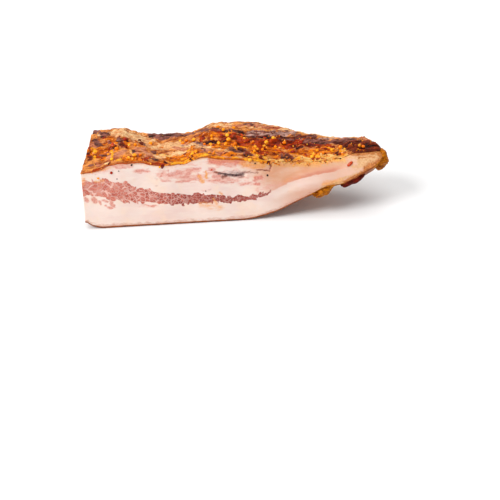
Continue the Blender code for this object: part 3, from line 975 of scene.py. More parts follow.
@dataclass(frozen=True)
class CutMeat:
    """The meat between crust and rind, with its two cut faces."""

    columns: int = 366
    tail_columns: int = 26
    rows: int = 104
    top_rows: int = 12
    under_crust: float = 1.1
    under_back: float = 1.3
    deepen: float = 6.0
    over_rind: float = 0.6
    over_sole: float = 0.3
    membrane: Curve = (
        (118, 21.5), (132, 22.0), (140, 22.8), (150, 26.0), (157, 28.6), (165, 31.6), (174, 34.2),
        (182, 35.9), (195, 37.7), (205, 39.5), (213, 42.6), (221, 47.6), (246, 54))
    peach_from: Span = (116.0, 164.0)
    peach_level: float = 36.0
    peach_slant: float = 0.8
    membrane_fade: Span = (200.0, 16.0)
    rosy_in: Span = (158.0, 20.0)
    rosy_out: Span = (205.0, -8.0)
    tail_in: Span = (168.0, 36.0)
    ragged_in: Span = (126.0, 8.0)
    ragged_out: Span = (210.0, -5.0)
    fallen_out: Span = (210.0, -4.0)
    fallen_depth: Span = (1.2, 1.6)
    fallen_drifts: Relief = Relief(3.4, 2.0, 2.0, 8.8)
    fallen_least: float = 0.4
    fissure_deep: float = 1.5
    crack_deep: float = 0.5
    knife_lines: Relief = Relief(9.0, 1.6, 0.10, 2.2)
    knife_waves: Relief = Relief(5.0, 4.0, 0.16, 6.1)
    waver: Relief = Relief(2.6, 2.6, 0.8, 4.4)
    waver_shift: float = 50.0
    waver_flat: float = 0.7

    def outline(self, x: Array) -> Array:
        """The closed section at each station, inside the crust and the rind.

        Args:
            x: The stations along the slab.

        Returns:
            The sections, each from the low front edge up, over, down the back and home.
        """
        up, over = (np.linspace(0, 1, count, endpoint=False) for count in (self.rows, self.top_rows))
        x = x[:, None]
        foot, brow = JOWL.cut(x, np.zeros((1, 1))), JOWL.cut(x, np.ones((1, 1)))
        tall = brow[..., 2] - foot[..., 2]
        low, high = self.over_rind / tall, 1 - self.under_crust / tall
        front = JOWL.cut(x, low + (high - low) * up[None, :])
        low_top = self.under_crust + self.under_back * ease(over * self.deepen)
        low_back = (self.under_crust + self.under_back) * np.ones(self.rows)
        top = JOWL.crust(x, np.broadcast_to(over, (len(x), self.top_rows)))
        top = top - np.stack((0 * low_top, 0 * low_top, low_top), -1)
        back = JOWL.back(x, np.broadcast_to(up, (len(x), self.rows)))
        back = back - np.stack((0 * up, low_back, low_back * (1 - up)), -1)
        sole = JOWL.sole(x, np.broadcast_to(over, (len(x), self.top_rows)))
        sole = sole + [0, 0, self.over_rind + self.over_sole]
        back[..., 2] = np.maximum(back[..., 2], sole[:, :1, 2])
        return np.concatenate((front, top, back, sole), 1)

    def spread(self, marks: Sequence[Stroke], x: Array, z: Array) -> Array:
        """The strongest of several strokes at each place, their edges wavering."""
        waver_z = self.waver.at(z + self.waver_shift, x) * self.waver_flat
        return painted(marks, x + self.waver.at(x, z), z + waver_z)

    def carve(self, places: Array, on_front: Array) -> Array:
        """Sinks the fissure and cracks into the front, and lays knife marks over it.

        Args:
            places: The sections.
            on_front: 1 for each place of a section that lies on the front.

        Returns:
            The carved sections.
        """
        x, z = places[..., 0], places[..., 2]
        sunk = self.fissure_deep * self.spread(FISSURE.strokes, x, z)
        sunk = sunk + self.crack_deep * self.spread(CRACKS.strokes, x, z)
        marks = self.knife_lines.at(x, z) + self.knife_waves.at(x, z)
        carved = places.copy()
        carved[..., 1] += (sunk + marks) * on_front
        return carved

    def build(self, skin: Skin) -> Piece:
        """Makes the meat as one closed mesh with its strata stored on it.

        Args:
            skin: Its material.

        Returns:
            The piece.
        """
        rings = self.outline(JOWL.stations(self.columns, self.tail_columns))
        on_front = np.zeros(rings.shape[1])
        on_front[1:self.rows] = 1
        rings = self.carve(rings, on_front)
        count, around = rings.shape[:2]
        form = [*rings.reshape(-1, 3)]
        faces = loft_faces(count, around).tolist()
        self.cap(form, faces, list(range(around)), up_x=False)
        self.cap(form, faces, list(range((count - 1) * around, count * around)), up_x=True)
        form = np.array(form)
        piece = make_object("meat", JOWL.placed(form), faces, skin)
        self.store(piece, form)
        return piece

    def cap(self, form: list[Array], faces: Faces, ring: list[int], up_x: bool) -> None:
        """Closes a ring with a grid between its four sides.

        Args:
            form: The mesh's places, which the grid's own are added to.
            faces: The mesh's faces, likewise.
            ring: Vertex numbers round the section, front edge first.
            up_x: Whether the cap faces the tail.
        """
        rows, columns, around = self.rows, self.top_rows, len(ring)
        grid = np.zeros((rows + 1, columns + 1), int)
        grid[:, 0] = ring[:rows + 1]
        grid[rows, :] = ring[rows:rows + columns + 1]
        grid[:, columns] = [ring[(2 * rows + columns - r) % around] for r in range(rows + 1)]
        grid[0, :] = [ring[-c % around] for c in range(columns + 1)]
        for r in range(1, rows):
            for c in range(1, columns):
                u, v = r / rows, c / columns
                sides = form[grid[r, 0]] * (1 - v) + form[grid[r, columns]] * v
                ends = form[grid[0, c]] * (1 - u) + form[grid[rows, c]] * u
                low = form[grid[0, 0]] * (1 - v) + form[grid[0, columns]] * v
                high = form[grid[rows, 0]] * (1 - v) + form[grid[rows, columns]] * v
                grid[r, c] = len(form)
                form.append(sides + ends - low * (1 - u) - high * u)
        for r in range(rows):
            for c in range(columns):
                face = [int(n) for n in (grid[r, c], grid[r, c + 1], grid[r + 1, c + 1], grid[r + 1, c])]
                faces.append(face if up_x else face[::-1])

    def store(self, piece: Piece, form: Array) -> None:
        """Stores where each vertex lies among the strata.

        Args:
            piece: The meat.
            form: Its vertices, in the slab's millimetres.
        """
        x, _, z = form.T
        spot, bundles = Streak().fascicle(form)
        below, above = JOWL.brow_height(x) - z, z - read_curve(JOWL.foot, x)
        first, last = self.peach_from
        peach = ease((x + (z - self.peach_level) * self.peach_slant - first) / (last - first))
        thin = 1 - ramp(x, *self.membrane_fade)
        rosy = ramp(x, *self.rosy_in) * ramp(x, *self.rosy_out)
        mesh = piece.data
        give(mesh, "fascicle", *spot)
        give(mesh, "streak", *bundles)
        give(mesh, "strata", below, above, z - read_curve(self.membrane, x))
        give(mesh, "bands", peach, thin, rosy)
        give(mesh, "tail", ramp(x, *self.tail_in))
        give(mesh, "ragged", ramp(x, *self.ragged_in) * ramp(x, *self.ragged_out))
        for mark in MARKS:
            give(mesh, mark.name, self.spread(mark.strokes, x, z))
        on_front = np.arange(len(form)) % (2 * (self.rows + self.top_rows)) < self.rows
        ragged = ramp(x, *self.ragged_in) * ramp(x, *self.fallen_out) * on_front
        depth, reach = self.fallen_depth
        drifts = ease(self.fallen_drifts.at(x, z) + self.fallen_least)
        give(mesh, "edge_crumbs", ragged * bell(below - depth, reach) * drifts)


@dataclass(frozen=True)
class LeanPaint:
    """Colours of the lean streak, and how its bundles, the gaps between them and their veins lie."""

    lean: Colour = linear(196, 100, 82)
    deep: Colour = linear(146, 50, 38)
    pale: Colour = linear(216, 136, 116)
    gap: Colour = linear(238, 200, 186)
    bends: tuple[Span, ...] = ((0.6, 1.3), (2.2, 0.4))
    middle: Triple = (0.5, 0.5, 0.5)
    bundle_size: float = 1.0
    bundle_loose: float = 0.9
    seam_size: float = 0.42
    overhang: float = 0.1
    missing_from: float = 0.95
    missing_share: float = 0.7
    gap_rag: float = 0.1
    gap_fade: Fade = Fade(0.07, -0.03, 0.85)
    corner_fade: Fade = Fade(0.54, 0.74, 0.75)
    seam_fade: Fade = Fade(0.11, 0.02)
    seam_grain: Clouds = Clouds(0.5, 2)
    seam_cover: Fade = Fade(0.42, 0.56)
    seam_share: float = 0.8
    seam_loss: float = 0.4
    veins: Clouds = Clouds(1, 3, 0.6, 1.2, (1.2, 3.4, 1.0), 3.0)
    vein_swing: float = 2.0
    speckle_swing: float = 1.0
    bundle_tone: float = 0.55
    dense_tone: float = 0.95
    lean_fade: Fade = Fade(0.0, 0.5)
    deep_fade: Fade = Fade(0.5, 1.25)
    rim_fade: Fade = Fade(0.24, 0.1, 0.3)

    def shaken(self, g: Graph, spot: Socket, scale: float, reach: float) -> Socket:
        """Coordinates bent by noise, so that cells read on them have wavy sides."""
        away = g.vector("SUBTRACT", g.clouds(spot, Clouds(scale)).outputs["Color"], self.middle)
        return g.vector("ADD", spot, g.vector("MULTIPLY", away, (reach, reach, 0.0)))

    def missing(self, g: Graph, pick: Socket, open_gap: Socket) -> Socket:
        """Bundles that have dried away, where the gaps stand open."""
        return g.times(g.math("GREATER_THAN", pick, self.missing_from), g.times(open_gap, self.missing_share))

    def seams(self, g: Graph, spot: Socket, dense: Socket) -> Socket:
        """Pale seams of fat between groups of bundles, here and there.

        Args:
            g: The material's graph.
            spot: The bundles' coordinates.
            dense: How dense the streak is.

        Returns:
            How much of each place is seam.
        """
        edges = g.cells(spot, "DISTANCE_TO_EDGE", self.seam_size, 1.0, "2D").outputs["Distance"]
        seam = g.times(g.fade(edges, self.seam_fade), g.fade(g.noise(spot, self.seam_grain), self.seam_cover))
        return g.times(seam, g.minus(self.seam_share, g.times(dense, self.seam_loss)))

    def paint(self, g: Graph, speckle: Socket) -> tuple[Socket, Socket]:
        """The lean streak's bundles.

        Args:
            g: The material's graph.
            speckle: Fine noise.

        Returns:
            How much of each place is lean, and its colour.
        """
        half, open_gap, dense = g.split(g.attribute("streak"))
        spot = g.attribute("fascicle")
        for scale, reach in self.bends:
            spot = self.shaken(g, spot, scale, reach)
        bundle, walls = (g.cells(spot, feature, self.bundle_size, self.bundle_loose, "2D")
                         for feature in ("F1", "DISTANCE_TO_EDGE"))
        _, heart, _ = g.split(bundle.outputs["Position"])
        pick, tone, _ = g.split(bundle.outputs["Color"])
        inside = g.math("LESS_THAN", g.math("ABSOLUTE", heart), g.plus(half, self.overhang))
        wall = walls.outputs["Distance"]
        gap = g.fade(g.minus(wall, g.times(speckle, self.gap_rag)), self.gap_fade)
        apart = g.times(g.most(gap, g.fade(bundle.outputs["Distance"], self.corner_fade)), open_gap)
        apart = g.most(g.most(apart, self.seams(g, spot, dense)), self.missing(g, pick, open_gap))
        tone = g.plus(g.times(tone, self.bundle_tone), g.swing(g.noise(spot, self.veins), self.vein_swing))
        tone = g.plus(tone, g.swing(speckle, self.speckle_swing))
        tone = g.plus(tone, g.times(dense, self.dense_tone))
        lean = g.blend(g.fade(tone, self.lean_fade), self.pale, self.lean)
        lean = g.blend(g.fade(tone, self.deep_fade), lean, self.deep)
        lean = g.blend(g.fade(wall, self.rim_fade), lean, self.deep)
        return inside, g.blend(apart, lean, self.gap)


@dataclass(frozen=True)
class MeatPaint:
    """Colours of the cut faces, and where each of them shows."""

    fibres: Tree
    moist: Tree
    lean: LeanPaint = LeanPaint()
    fat: Colour = linear(238, 217, 206)
    fat_pink: Colour = linear(232, 204, 194)
    fat_warm: Colour = linear(240, 212, 190)
    low_band: Colour = linear(212, 160, 134)
    peach: Colour = linear(222, 160, 124)
    peach_low: Colour = linear(224, 158, 130)
    peach_top: Colour = linear(214, 166, 122)
    membrane: Colour = linear(204, 124, 98)
    under_membrane: Colour = linear(232, 200, 186)
    tail_fat: Colour = linear(216, 172, 148)
    crumbs: tuple[Colour, Colour] = (linear(244, 188, 96), linear(176, 92, 30))
    by_rind: Colour = linear(206, 146, 120)
    by_crust: Colour = linear(236, 160, 96)
    cloud: Clouds = Clouds(0.07, 3, 0.6)
    speckle: Clouds = Clouds(0.9, 4, 0.65)
    flow: Clouds = Clouds(1, 4, 0.62, 0.4, (0.22, 0.3, 0.55))
    smear: Clouds = Clouds(1, 3, 0.5, 0.0, (0.05, 0.1, 0.16))
    jags: Clouds = Clouds(1, 4, 0.7, 0.0, (0.34, 0.34, 0.5), 5.0)
    wander: float = 9.0
    rind_fade: Fade = Fade(4.0, 0.2, 0.75)
    crust_fade: Fade = Fade(3.0, 0.8, 0.45)
    jag_swing: float = 15.0
    jag_fade: Fade = Fade(2.0, 1.2, 0.85)
    crumb_mix: Fade = Fade(0.45, 0.7)
    mark_fade: Fade = Fade(0.02, 0.3)
    mark_mix: Fade = Fade(0.35, 0.65)
    pink_fade: Fade = Fade(0.35, 0.75)
    warm_fade: Fade = Fade(0.45, 0.7, 0.7)
    band_rag: float = 0.35
    under_fade: Fade = Fade(-7.0, -1.0)
    low_fade: Fade = Fade(-3.0, -12.0, 0.9)
    peach_rag: float = 0.06
    peach_fade: Fade = Fade(0.1, 0.9)
    band_fade: Fade = Fade(-0.8, 0.8)
    tone_fade: Fade = Fade(0.5, 6.0)
    top_fade: Fade = Fade(7.0, 1.0)
    smear_fade: Fade = Fade(0.4, 0.7, 0.35)
    thin_fade: Fade = Fade(-0.2, 0.9)
    aged_fade: Fade = Fade(-0.2, 0.9, 0.6)
    tail_share: float = 0.85
    skin_above: Fade = Fade(3.6, 0.6)
    skin_below: Fade = Fade(-0.5, 0.4, 0.75)
    strands: Strands = Strands(0.12, 0.9)
    wetness: Wetness = Wetness(0.5, 0.3, 0.25)
    lean_gloss: float = 0.06
    tail_dull: float = 0.35
    strand_height: float = 0.4
    lean_height: float = -0.35
    bump: Span = (0.35, 0.5)

    def paint(self, g: Graph) -> Painted:
        """Fat, then the bands, the lean and the marks on it.

        Args:
            g: The material's graph.

        Returns:
            Its colour, roughness and normal.
        """
        here = g.millimetres()
        below_crust, above_rind, over_membrane = g.split(g.attribute("strata"))
        speckle, flow = g.noise(here, self.speckle), g.noise(here, self.flow)
        wander = g.swing(flow, self.wander)
        colour = self.fat_bands(g, here, wander, below_crust, over_membrane)
        for mark in (HAZE, ROSY, LOOPS, STRAYS):
            colour = self.marked(g, mark, flow, speckle, colour)
        share, lean = self.lean.paint(g, speckle)
        colour = g.blend(share, colour, lean)
        colour = g.blend(g.fade(g.plus(above_rind, wander), self.rind_fade), colour, self.by_rind)
        colour = g.blend(g.fade(g.plus(below_crust, wander), self.crust_fade), colour, self.by_crust)
        for mark in (STAINS, TANS, BARK, CRACKS, SHADE_AND_SPOTS, FISSURE):
            colour = self.marked(g, mark, flow, speckle, colour)
        jag = g.swing(g.noise(here, self.jags), self.jag_swing)
        hanging = g.times(g.fade(g.plus(below_crust, jag), self.jag_fade), g.number("ragged"))
        colour = g.blend(hanging, colour, g.blend(g.fade(speckle, self.crumb_mix), *self.crumbs))
        roughness = g.minus(self.wetness.read(g, self.moist, here), g.times(share, self.lean_gloss))
        roughness = g.plus(roughness, g.times(g.number("tail"), self.tail_dull))
        height = g.times(self.strands.read(g, self.fibres, here)["Height"], self.strand_height)
        return colour, roughness, g.bump(g.plus(height, g.times(share, self.lean_height)), *self.bump)

    def marked(self, g: Graph, mark: Mark, flow: Socket, speckle: Socket, colour: Socket) -> Socket:
        """Lays one kind of mark over the colour.

        Args:
            g: The material's graph.
            mark: The mark.
            flow: Noise that makes its edge ragged.
            speckle: Noise that mixes its two tones.
            colour: The colour under it.

        Returns:
            The marked colour.
        """
        share = g.fade(g.plus(g.number(mark.name), g.swing(flow, mark.rag)), mark.edge)
        share = g.times(share, g.fade(g.number(mark.name), self.mark_fade))
        return g.blend(share, colour, g.blend(g.fade(speckle, self.mark_mix), mark.light, mark.dark))

    def fat_bands(self, g: Graph, here: Socket, wander: Socket, below_crust: Socket,
                  over_membrane: Socket) -> Socket:
        """The fat's own colour, and the peach band over the membrane towards the tail.

        Args:
            g: The material's graph.
            here: Places in millimetres.
            wander: How far the bands' edges stray.
            below_crust: How far each place lies below the crust.
            over_membrane: How far it lies over the membrane.

        Returns:
            The fat's colour.
        """
        peach, thin, rosy = g.split(g.attribute("bands"))
        cloud, smear = g.noise(here, self.cloud), g.noise(here, self.smear)
        colour = g.blend(g.fade(smear, self.pink_fade), self.fat, self.fat_pink)
        colour = g.blend(g.fade(cloud, self.warm_fade), colour, self.fat_warm)
        under = g.plus(over_membrane, g.times(wander, self.band_rag))
        colour = g.blend(g.times(peach, g.fade(under, self.under_fade)), colour, self.under_membrane)
        colour = g.blend(g.times(peach, g.fade(under, self.low_fade)), colour, self.low_band)
        peach = g.fade(g.plus(peach, g.times(wander, self.peach_rag)), self.peach_fade)
        band = g.times(peach, g.fade(under, self.band_fade))
        tone = g.blend(g.fade(under, self.tone_fade), self.peach_low, self.peach)
        tone = g.blend(g.fade(g.minus(below_crust, wander), self.top_fade), tone, self.peach_top)
        tone = g.blend(g.fade(smear, self.smear_fade), tone, self.fat_warm)
        colour = g.blend(g.times(band, g.fade(thin, self.thin_fade)), colour, tone)
        aged = g.minus(1.0, g.times(band, g.fade(thin, self.aged_fade)))
        colour = g.blend(g.times(g.number("tail"), g.times(aged, self.tail_share)), colour, self.tail_fat)
        skin = g.times(g.fade(under, self.skin_above), g.fade(under, self.skin_below))
        return g.blend(g.times(skin, rosy), colour, self.membrane)


# ---------------- the crust


class Tone(Enum):
    """The tones of the crust, in the order in which they lie over each other."""

    TAN = 0
    SALMON = 1
    AMBER = 2
    GOLD = 3
    CREAM = 4
    RED = 5
    GREY = 6
    PURPLE = 7
    MAROON = 8


# Where each tone lies, as strokes along the slab and over the crust from its cut edge.
CRUST_STROKES: dict[Tone, tuple[Stroke, ...]] = {
    Tone.TAN: strokes(
        (14, 54, 54, 52, 7.5), (50, 40, 62, 36, 5), (60, 34, 80, 32, 6), (66, 43, 82, 41, 5),
        (80, 34, 94, 28, 6), (97, 22, 108, 15, 3.5, 0.8), (64, 13, 80, 18, 5), (42, 42, 46, 34, 3),
        (28, 45, 46, 45, 3.5), (18, 9, 24, 3, 1.4), (111, 18, 116, 12, 2.5), (120, 6, 126, 2, 2),
        (104, 60, 128, 56, 4, 0.7), (136, 54, 164, 50, 5, 0.9), (164, 46, 182, 40, 3.5, 0.9),
        (182, 38, 204, 30, 2.5, 0.8), (60, 84, 170, 80, 7, 0.7)),
    Tone.SALMON: strokes(
        (24, 22, 26, 8, 3.5), (120, 57, 160, 51, 2.2, 0.9), (216, 9, 222, 8, 1.2, 0.8),
        (224, 22, 234, 20, 2, 0.9), (29, 14, 36, 22, 3.5), (45, 26, 46, 8, 2.4), (50, 26, 57, 11, 4),
        (76, 30, 82, 24, 3.5, 0.9), (96, 12, 112, 7, 3), (4, 40, 13, 35, 4.5, 0.7), (13, 10, 18, 6, 2.5),
        (107, 1, 116, 2, 1.6), (83, 40, 86, 34, 2, 0.8)),
    Tone.AMBER: strokes(
        (13, 21, 19, 15, 4), (156, 27, 164, 25, 1.4, 0.8), (118, 36, 124, 34, 1.6, 0.9),
        (128, 34, 136, 33, 1.4, 0.7), (20, 42, 26, 32, 3.6, 1.5), (10, 28, 22, 27, 2.6, 1.5),
        (13, 33, 17, 38, 3), (35, 40, 37, 29, 2.2, 1.3), (45, 40, 50, 31, 3), (60, 35, 66, 36, 2, 0.8),
        (71, 10, 86, 9, 4.4, 1.6), (46, 6, 52, 3, 3, 1.3), (60, 5, 66, 3, 2), (87, 20, 91, 29, 1.6, 0.9),
        (86, 45, 88, 38, 2, 0.9), (98, 45, 112, 40, 4), (111, 5, 121, 6, 2.5),
        (112, 27, 134, 27, 5, 1.5), (104, 18, 113, 21, 2.4, 1), (90, 22, 93, 12, 1.8, 1.2),
        (111, 28, 113, 15, 2.2, 1.1), (134, 29, 138, 10, 3, 1.5), (122, 41, 136, 34, 4),
        (147, 23, 161, 13, 6, 1.5), (149, 14, 156, 5, 4), (99, 0.4, 128, 0.4, 1.3, 1.15),
        (167, 21, 175, 7, 3.6, 1.2), (174, 17, 188, 12, 4, 1.2), (190, 18, 199, 8, 4, 1.2),
        (180, 8, 192, 8, 2), (197, 6, 207, 4, 2), (36, 5, 46, 4, 2.5), (20, 98, 120, 94, 9, 0.7)),
    # The gold stroke from (10, 23) to (11, 16) is a painted highlight on seeds.
    Tone.GOLD: strokes(
        (72, 2, 88, 2, 2.8, 1.2), (79, 9, 86, 7, 2, 0.9), (89, 5, 98, 3, 2.6, 1.3),
        (6, 33, 8.5, 28, 2.4, 1.4), (23.5, 24, 25.5, 15, 1.3, 1.3), (10, 23, 11, 16, 1.1, 1.2),
        (30, 4.5, 33, 4.5, 1.0, 1.1), (86, 20, 89, 13, 1.8, 1.1), (122, 26, 124, 18, 1.3),
        (128, 27, 131, 22, 1.3), (134, 14, 138, 7, 1.5), (142, 10, 146, 2, 1.8, 1.2),
        (134, 4, 138, 3, 2), (103, 1.6, 112, 1.6, 0.9, 1.1), (118, 2, 122, 1.4, 1.1, 1.1),
        (128, 1, 146, 0.5, 1.1, 1.15), (104, 28, 110, 24, 2.4, 1.1), (158, 3, 176, 3, 1.4),
        (206, 10, 206, 4, 1.3), (180, 16, 184, 10, 1.2, 0.6), (171, 14, 173, 6, 1.1),
        (197, 16, 199, 9, 1.1), (50, 92, 130, 88, 6, 0.6)),
    # The cream stroke from (41, 20) to (44, 10) is a painted highlight.
    Tone.CREAM: strokes(
        (64, 18, 71, 15, 2.5), (41, 20, 44, 10, 1.4), (148, 4, 156, 1, 3, 1.1), (164, 3, 168, 2, 1.6),
        (175, 4, 186, 1, 3, 1.3), (188, 6, 195, 2, 2.8, 1.3), (196, 3, 208, 1, 2.4, 1.1),
        (102, 28, 104, 22, 1.6), (206, 13, 209, 6, 1.5), (216, 25, 228, 23, 1.2)),
    Tone.RED: strokes(
        (4, 27, 8, 23, 2), (14, 21, 17, 15, 2.4, 0.9), (4, 36, 6, 31, 1.3), (149, 24, 160, 20, 2.4, 0.7),
        (150, 18, 156, 8, 3, 0.55), (188, 20, 196, 13, 2.4, 0.75), (176, 12, 178, 8, 1.2, 0.8),
        (22, 27, 29, 27, 1.6), (34, 33, 36, 28, 1.4), (49, 6, 54, 5, 1.8), (96, 36, 98, 43, 2),
        (98, 57, 112, 46, 5, 0.75), (112, 34, 124, 37, 3, 0.75), (128, 33, 142, 33, 4, 1.2),
        (143, 27, 143.5, 14, 3.4, 2.2), (112, 38, 126, 36, 3, 1), (144, 33, 153, 30, 2.8, 1.4),
        (51, 2.6, 55.5, 9, 1.3, 1.4), (12, 1, 20, 1, 1.4, 1.1), (56, 0.5, 70, 0.8, 1.3, 1),
        (152, 32, 174, 28, 4.6, 1.7), (168, 30, 184, 27, 3.6, 1.5), (178, 24, 191, 24, 2.8, 1.3),
        (191, 22, 200, 16, 1.6, 1.1), (181, 7, 182.5, 3, 1.9, 1.5), (186, 2, 189, 5, 1.3, 1.1),
        (216, 4, 220, 3, 1.6, 1.1), (228, 14, 236, 12, 2, 1.1), (120, 80, 190, 74, 7, 0.7)),
    Tone.GREY: strokes(
        (136, 43, 162, 38, 3.8, 1.1), (160, 41, 172, 38, 2.6), (172, 33, 181, 33, 1.6),
        (186, 30, 206, 28, 1.6, 0.7), (204, 28, 217, 22, 2, 0.6), (92, 38, 98, 29, 2.6),
        (82, 34, 86, 30, 2, 0.7), (80, 70, 130, 70, 4, 0.6)),
    Tone.PURPLE: strokes(
        (4, 60, 14, 52, 5.5, 1.1), (7, 45, 12, 36, 2.6, 1.1), (133, 57, 139, 54.5, 1.6, 1.2),
        (140, 45.5, 158, 40.5, 0.9, 1.05), (150, 47, 166, 43, 1.1, 1.1), (128, 45, 142, 41.5, 1.0, 1.0),
        (60, 60, 100, 56, 5.5, 1.3), (13, 24, 20, 23, 1.4), (20, 21, 23, 16, 1.6), (9, 9, 13, 10, 1.3),
        (20, 39, 24, 30, 1.4), (29, 39, 33, 30, 2.6, 1.2), (42, 23, 44, 18, 1.6), (51, 43, 54, 34, 1.5),
        (58, 24, 64, 21, 1.8), (56, 8, 61, 8, 1.6), (94, 38, 96, 32, 1.4), (97, 16, 98, 11, 1.2),
        (119, 17, 125, 12, 3.6, 1.3), (127, 21, 131, 8, 2.6, 1.5), (134, 40, 160, 35, 1.8),
        (160, 34, 188, 33, 1.9, 1.4), (178, 28, 190, 28, 2.4, 1.2), (188, 27, 204, 21, 3.4, 1.4),
        (157, 13, 159, 4, 2, 1.2), (163, 18, 163.5, 3, 2, 1.6), (206, 22, 224, 17, 3.4, 1.2),
        (100, 50, 130, 46, 3, 0.7), (16, 76, 66, 74, 8, 0.9), (150, 68, 196, 56, 7)),
    Tone.MAROON: strokes(
        (6, 24, 9, 21, 1.7), (130, 40.5, 150, 36.6, 0.9, 1.05), (146, 42, 156, 38.8, 0.6, 0.9),
        (7.5, 24, 8, 16, 1.4, 1.2), (150, 35.6, 184, 33.4, 1.0, 1.05), (24, 2, 25, 3, 1.1),
        (67, 5, 68, 3, 1.3), (82, 14, 83, 16, 1), (88, 4, 88, 1, 1.1), (100, 33, 108, 32, 2),
        (114, 32, 117, 33, 1.5), (127, 42, 127, 40, 1.2), (122, 35, 124, 37, 1.2), (48, 45, 50, 38, 1.8),
        (37, 39, 38, 37, 1.3), (114, 7, 115, 8, 1), (118, 4, 119, 5, 1), (130, 5, 131, 3, 1.3),
        (141, 6, 141, 3, 1.3, 1.2), (145.6, 0.8, 147, 0, 0.9, 1), (154, 25, 155, 25, 1),
        (172, 23, 176, 21, 1.2), (24, 28.4, 29, 27, 1.4, 1.2), (31, 36, 33.5, 29, 1.5, 1.2),
        (48, 46, 50, 36, 1.6, 1.3), (126.5, 21, 131, 9, 1.4, 1.3), (163.3, 14, 163.6, 3, 1.2, 1.4),
        (203, 21, 213, 12, 2, 1.4), (201, 3.4, 203.4, 8, 0.9, 1.2), (212, 12, 231, 12, 4, 1.6),
        (213, 7, 233, 6, 4, 1.6), (216, 2, 237, 3, 3.4, 1.6)),
}


# Where amber crumbs stand in clumps.
CLUMPS = strokes(
    (136, 20, 140, 17, 2), (147, 28, 152, 26, 2), (146, 14, 145, 11, 1.6), (134, 3, 132, 2, 1.6),
    (158, 27, 161, 27, 1.4), (163, 4, 168, 4, 1.4), (180, 9, 190, 7, 1.8), (200, 15, 204, 15, 1.4),
    (88, 4, 92, 4, 1.8), (80, 7, 86, 6, 2), (101, 6, 106, 5, 1.6), (102, 27, 109, 26, 1.2),
    (6, 30, 9, 26, 2), (36, 7, 50, 6, 1.2), (129, 35, 133, 34, 1.6), (140, 33, 143, 31, 1.8),
    (22, 21, 27, 20, 1.6), (118, 29, 124, 24, 1.2), (207, 11, 220, 9, 1.3, 0.55), (172, 8, 178, 6, 1.4),
    (184, 6, 188, 3, 1.2))


@dataclass(frozen=True)
class CrumbCover:
    """How thickly crumbs lie on the crust: in drifts, most on gold and red and at the ragged edge."""

    everywhere: float = 0.1
    gold_most: float = 1.2
    red_share: float = 0.6
    cream_share: float = 0.5
    drifts: Relief = Relief(6.0, 3.0, 1.0, 15.1)
    drift_start: float = -0.25
    drift_run: float = 0.6
    edge_middle: float = 1.5
    edge_reach: float = 2.5
    edge_in: Span = (128.0, 10.0)
    edge_end: float = 212.0

    def at(self, along: Array, over: Array) -> Array:
        """How thickly they lie at each place.

        Args:
            along: Places along the slab.
            over: How far over the crust they are.

        Returns:
            The covering, from 0 up.
        """
        tones = (Tone.GOLD, Tone.RED, Tone.CREAM)
        gold, red, cream = (painted(CRUST_STROKES[tone], along, over) for tone in tones)
        drifts = ramp(self.drifts.at(along, over), self.drift_start, self.drift_run)
        edge = bell(over - self.edge_middle, self.edge_reach) * ramp(along, *self.edge_in)
        edge = edge * (along < self.edge_end)
        cover = self.everywhere + np.clip(gold, 0, self.gold_most) + self.red_share * np.clip(red, 0, 1)
        return (cover + self.cream_share * cream + edge) * drifts


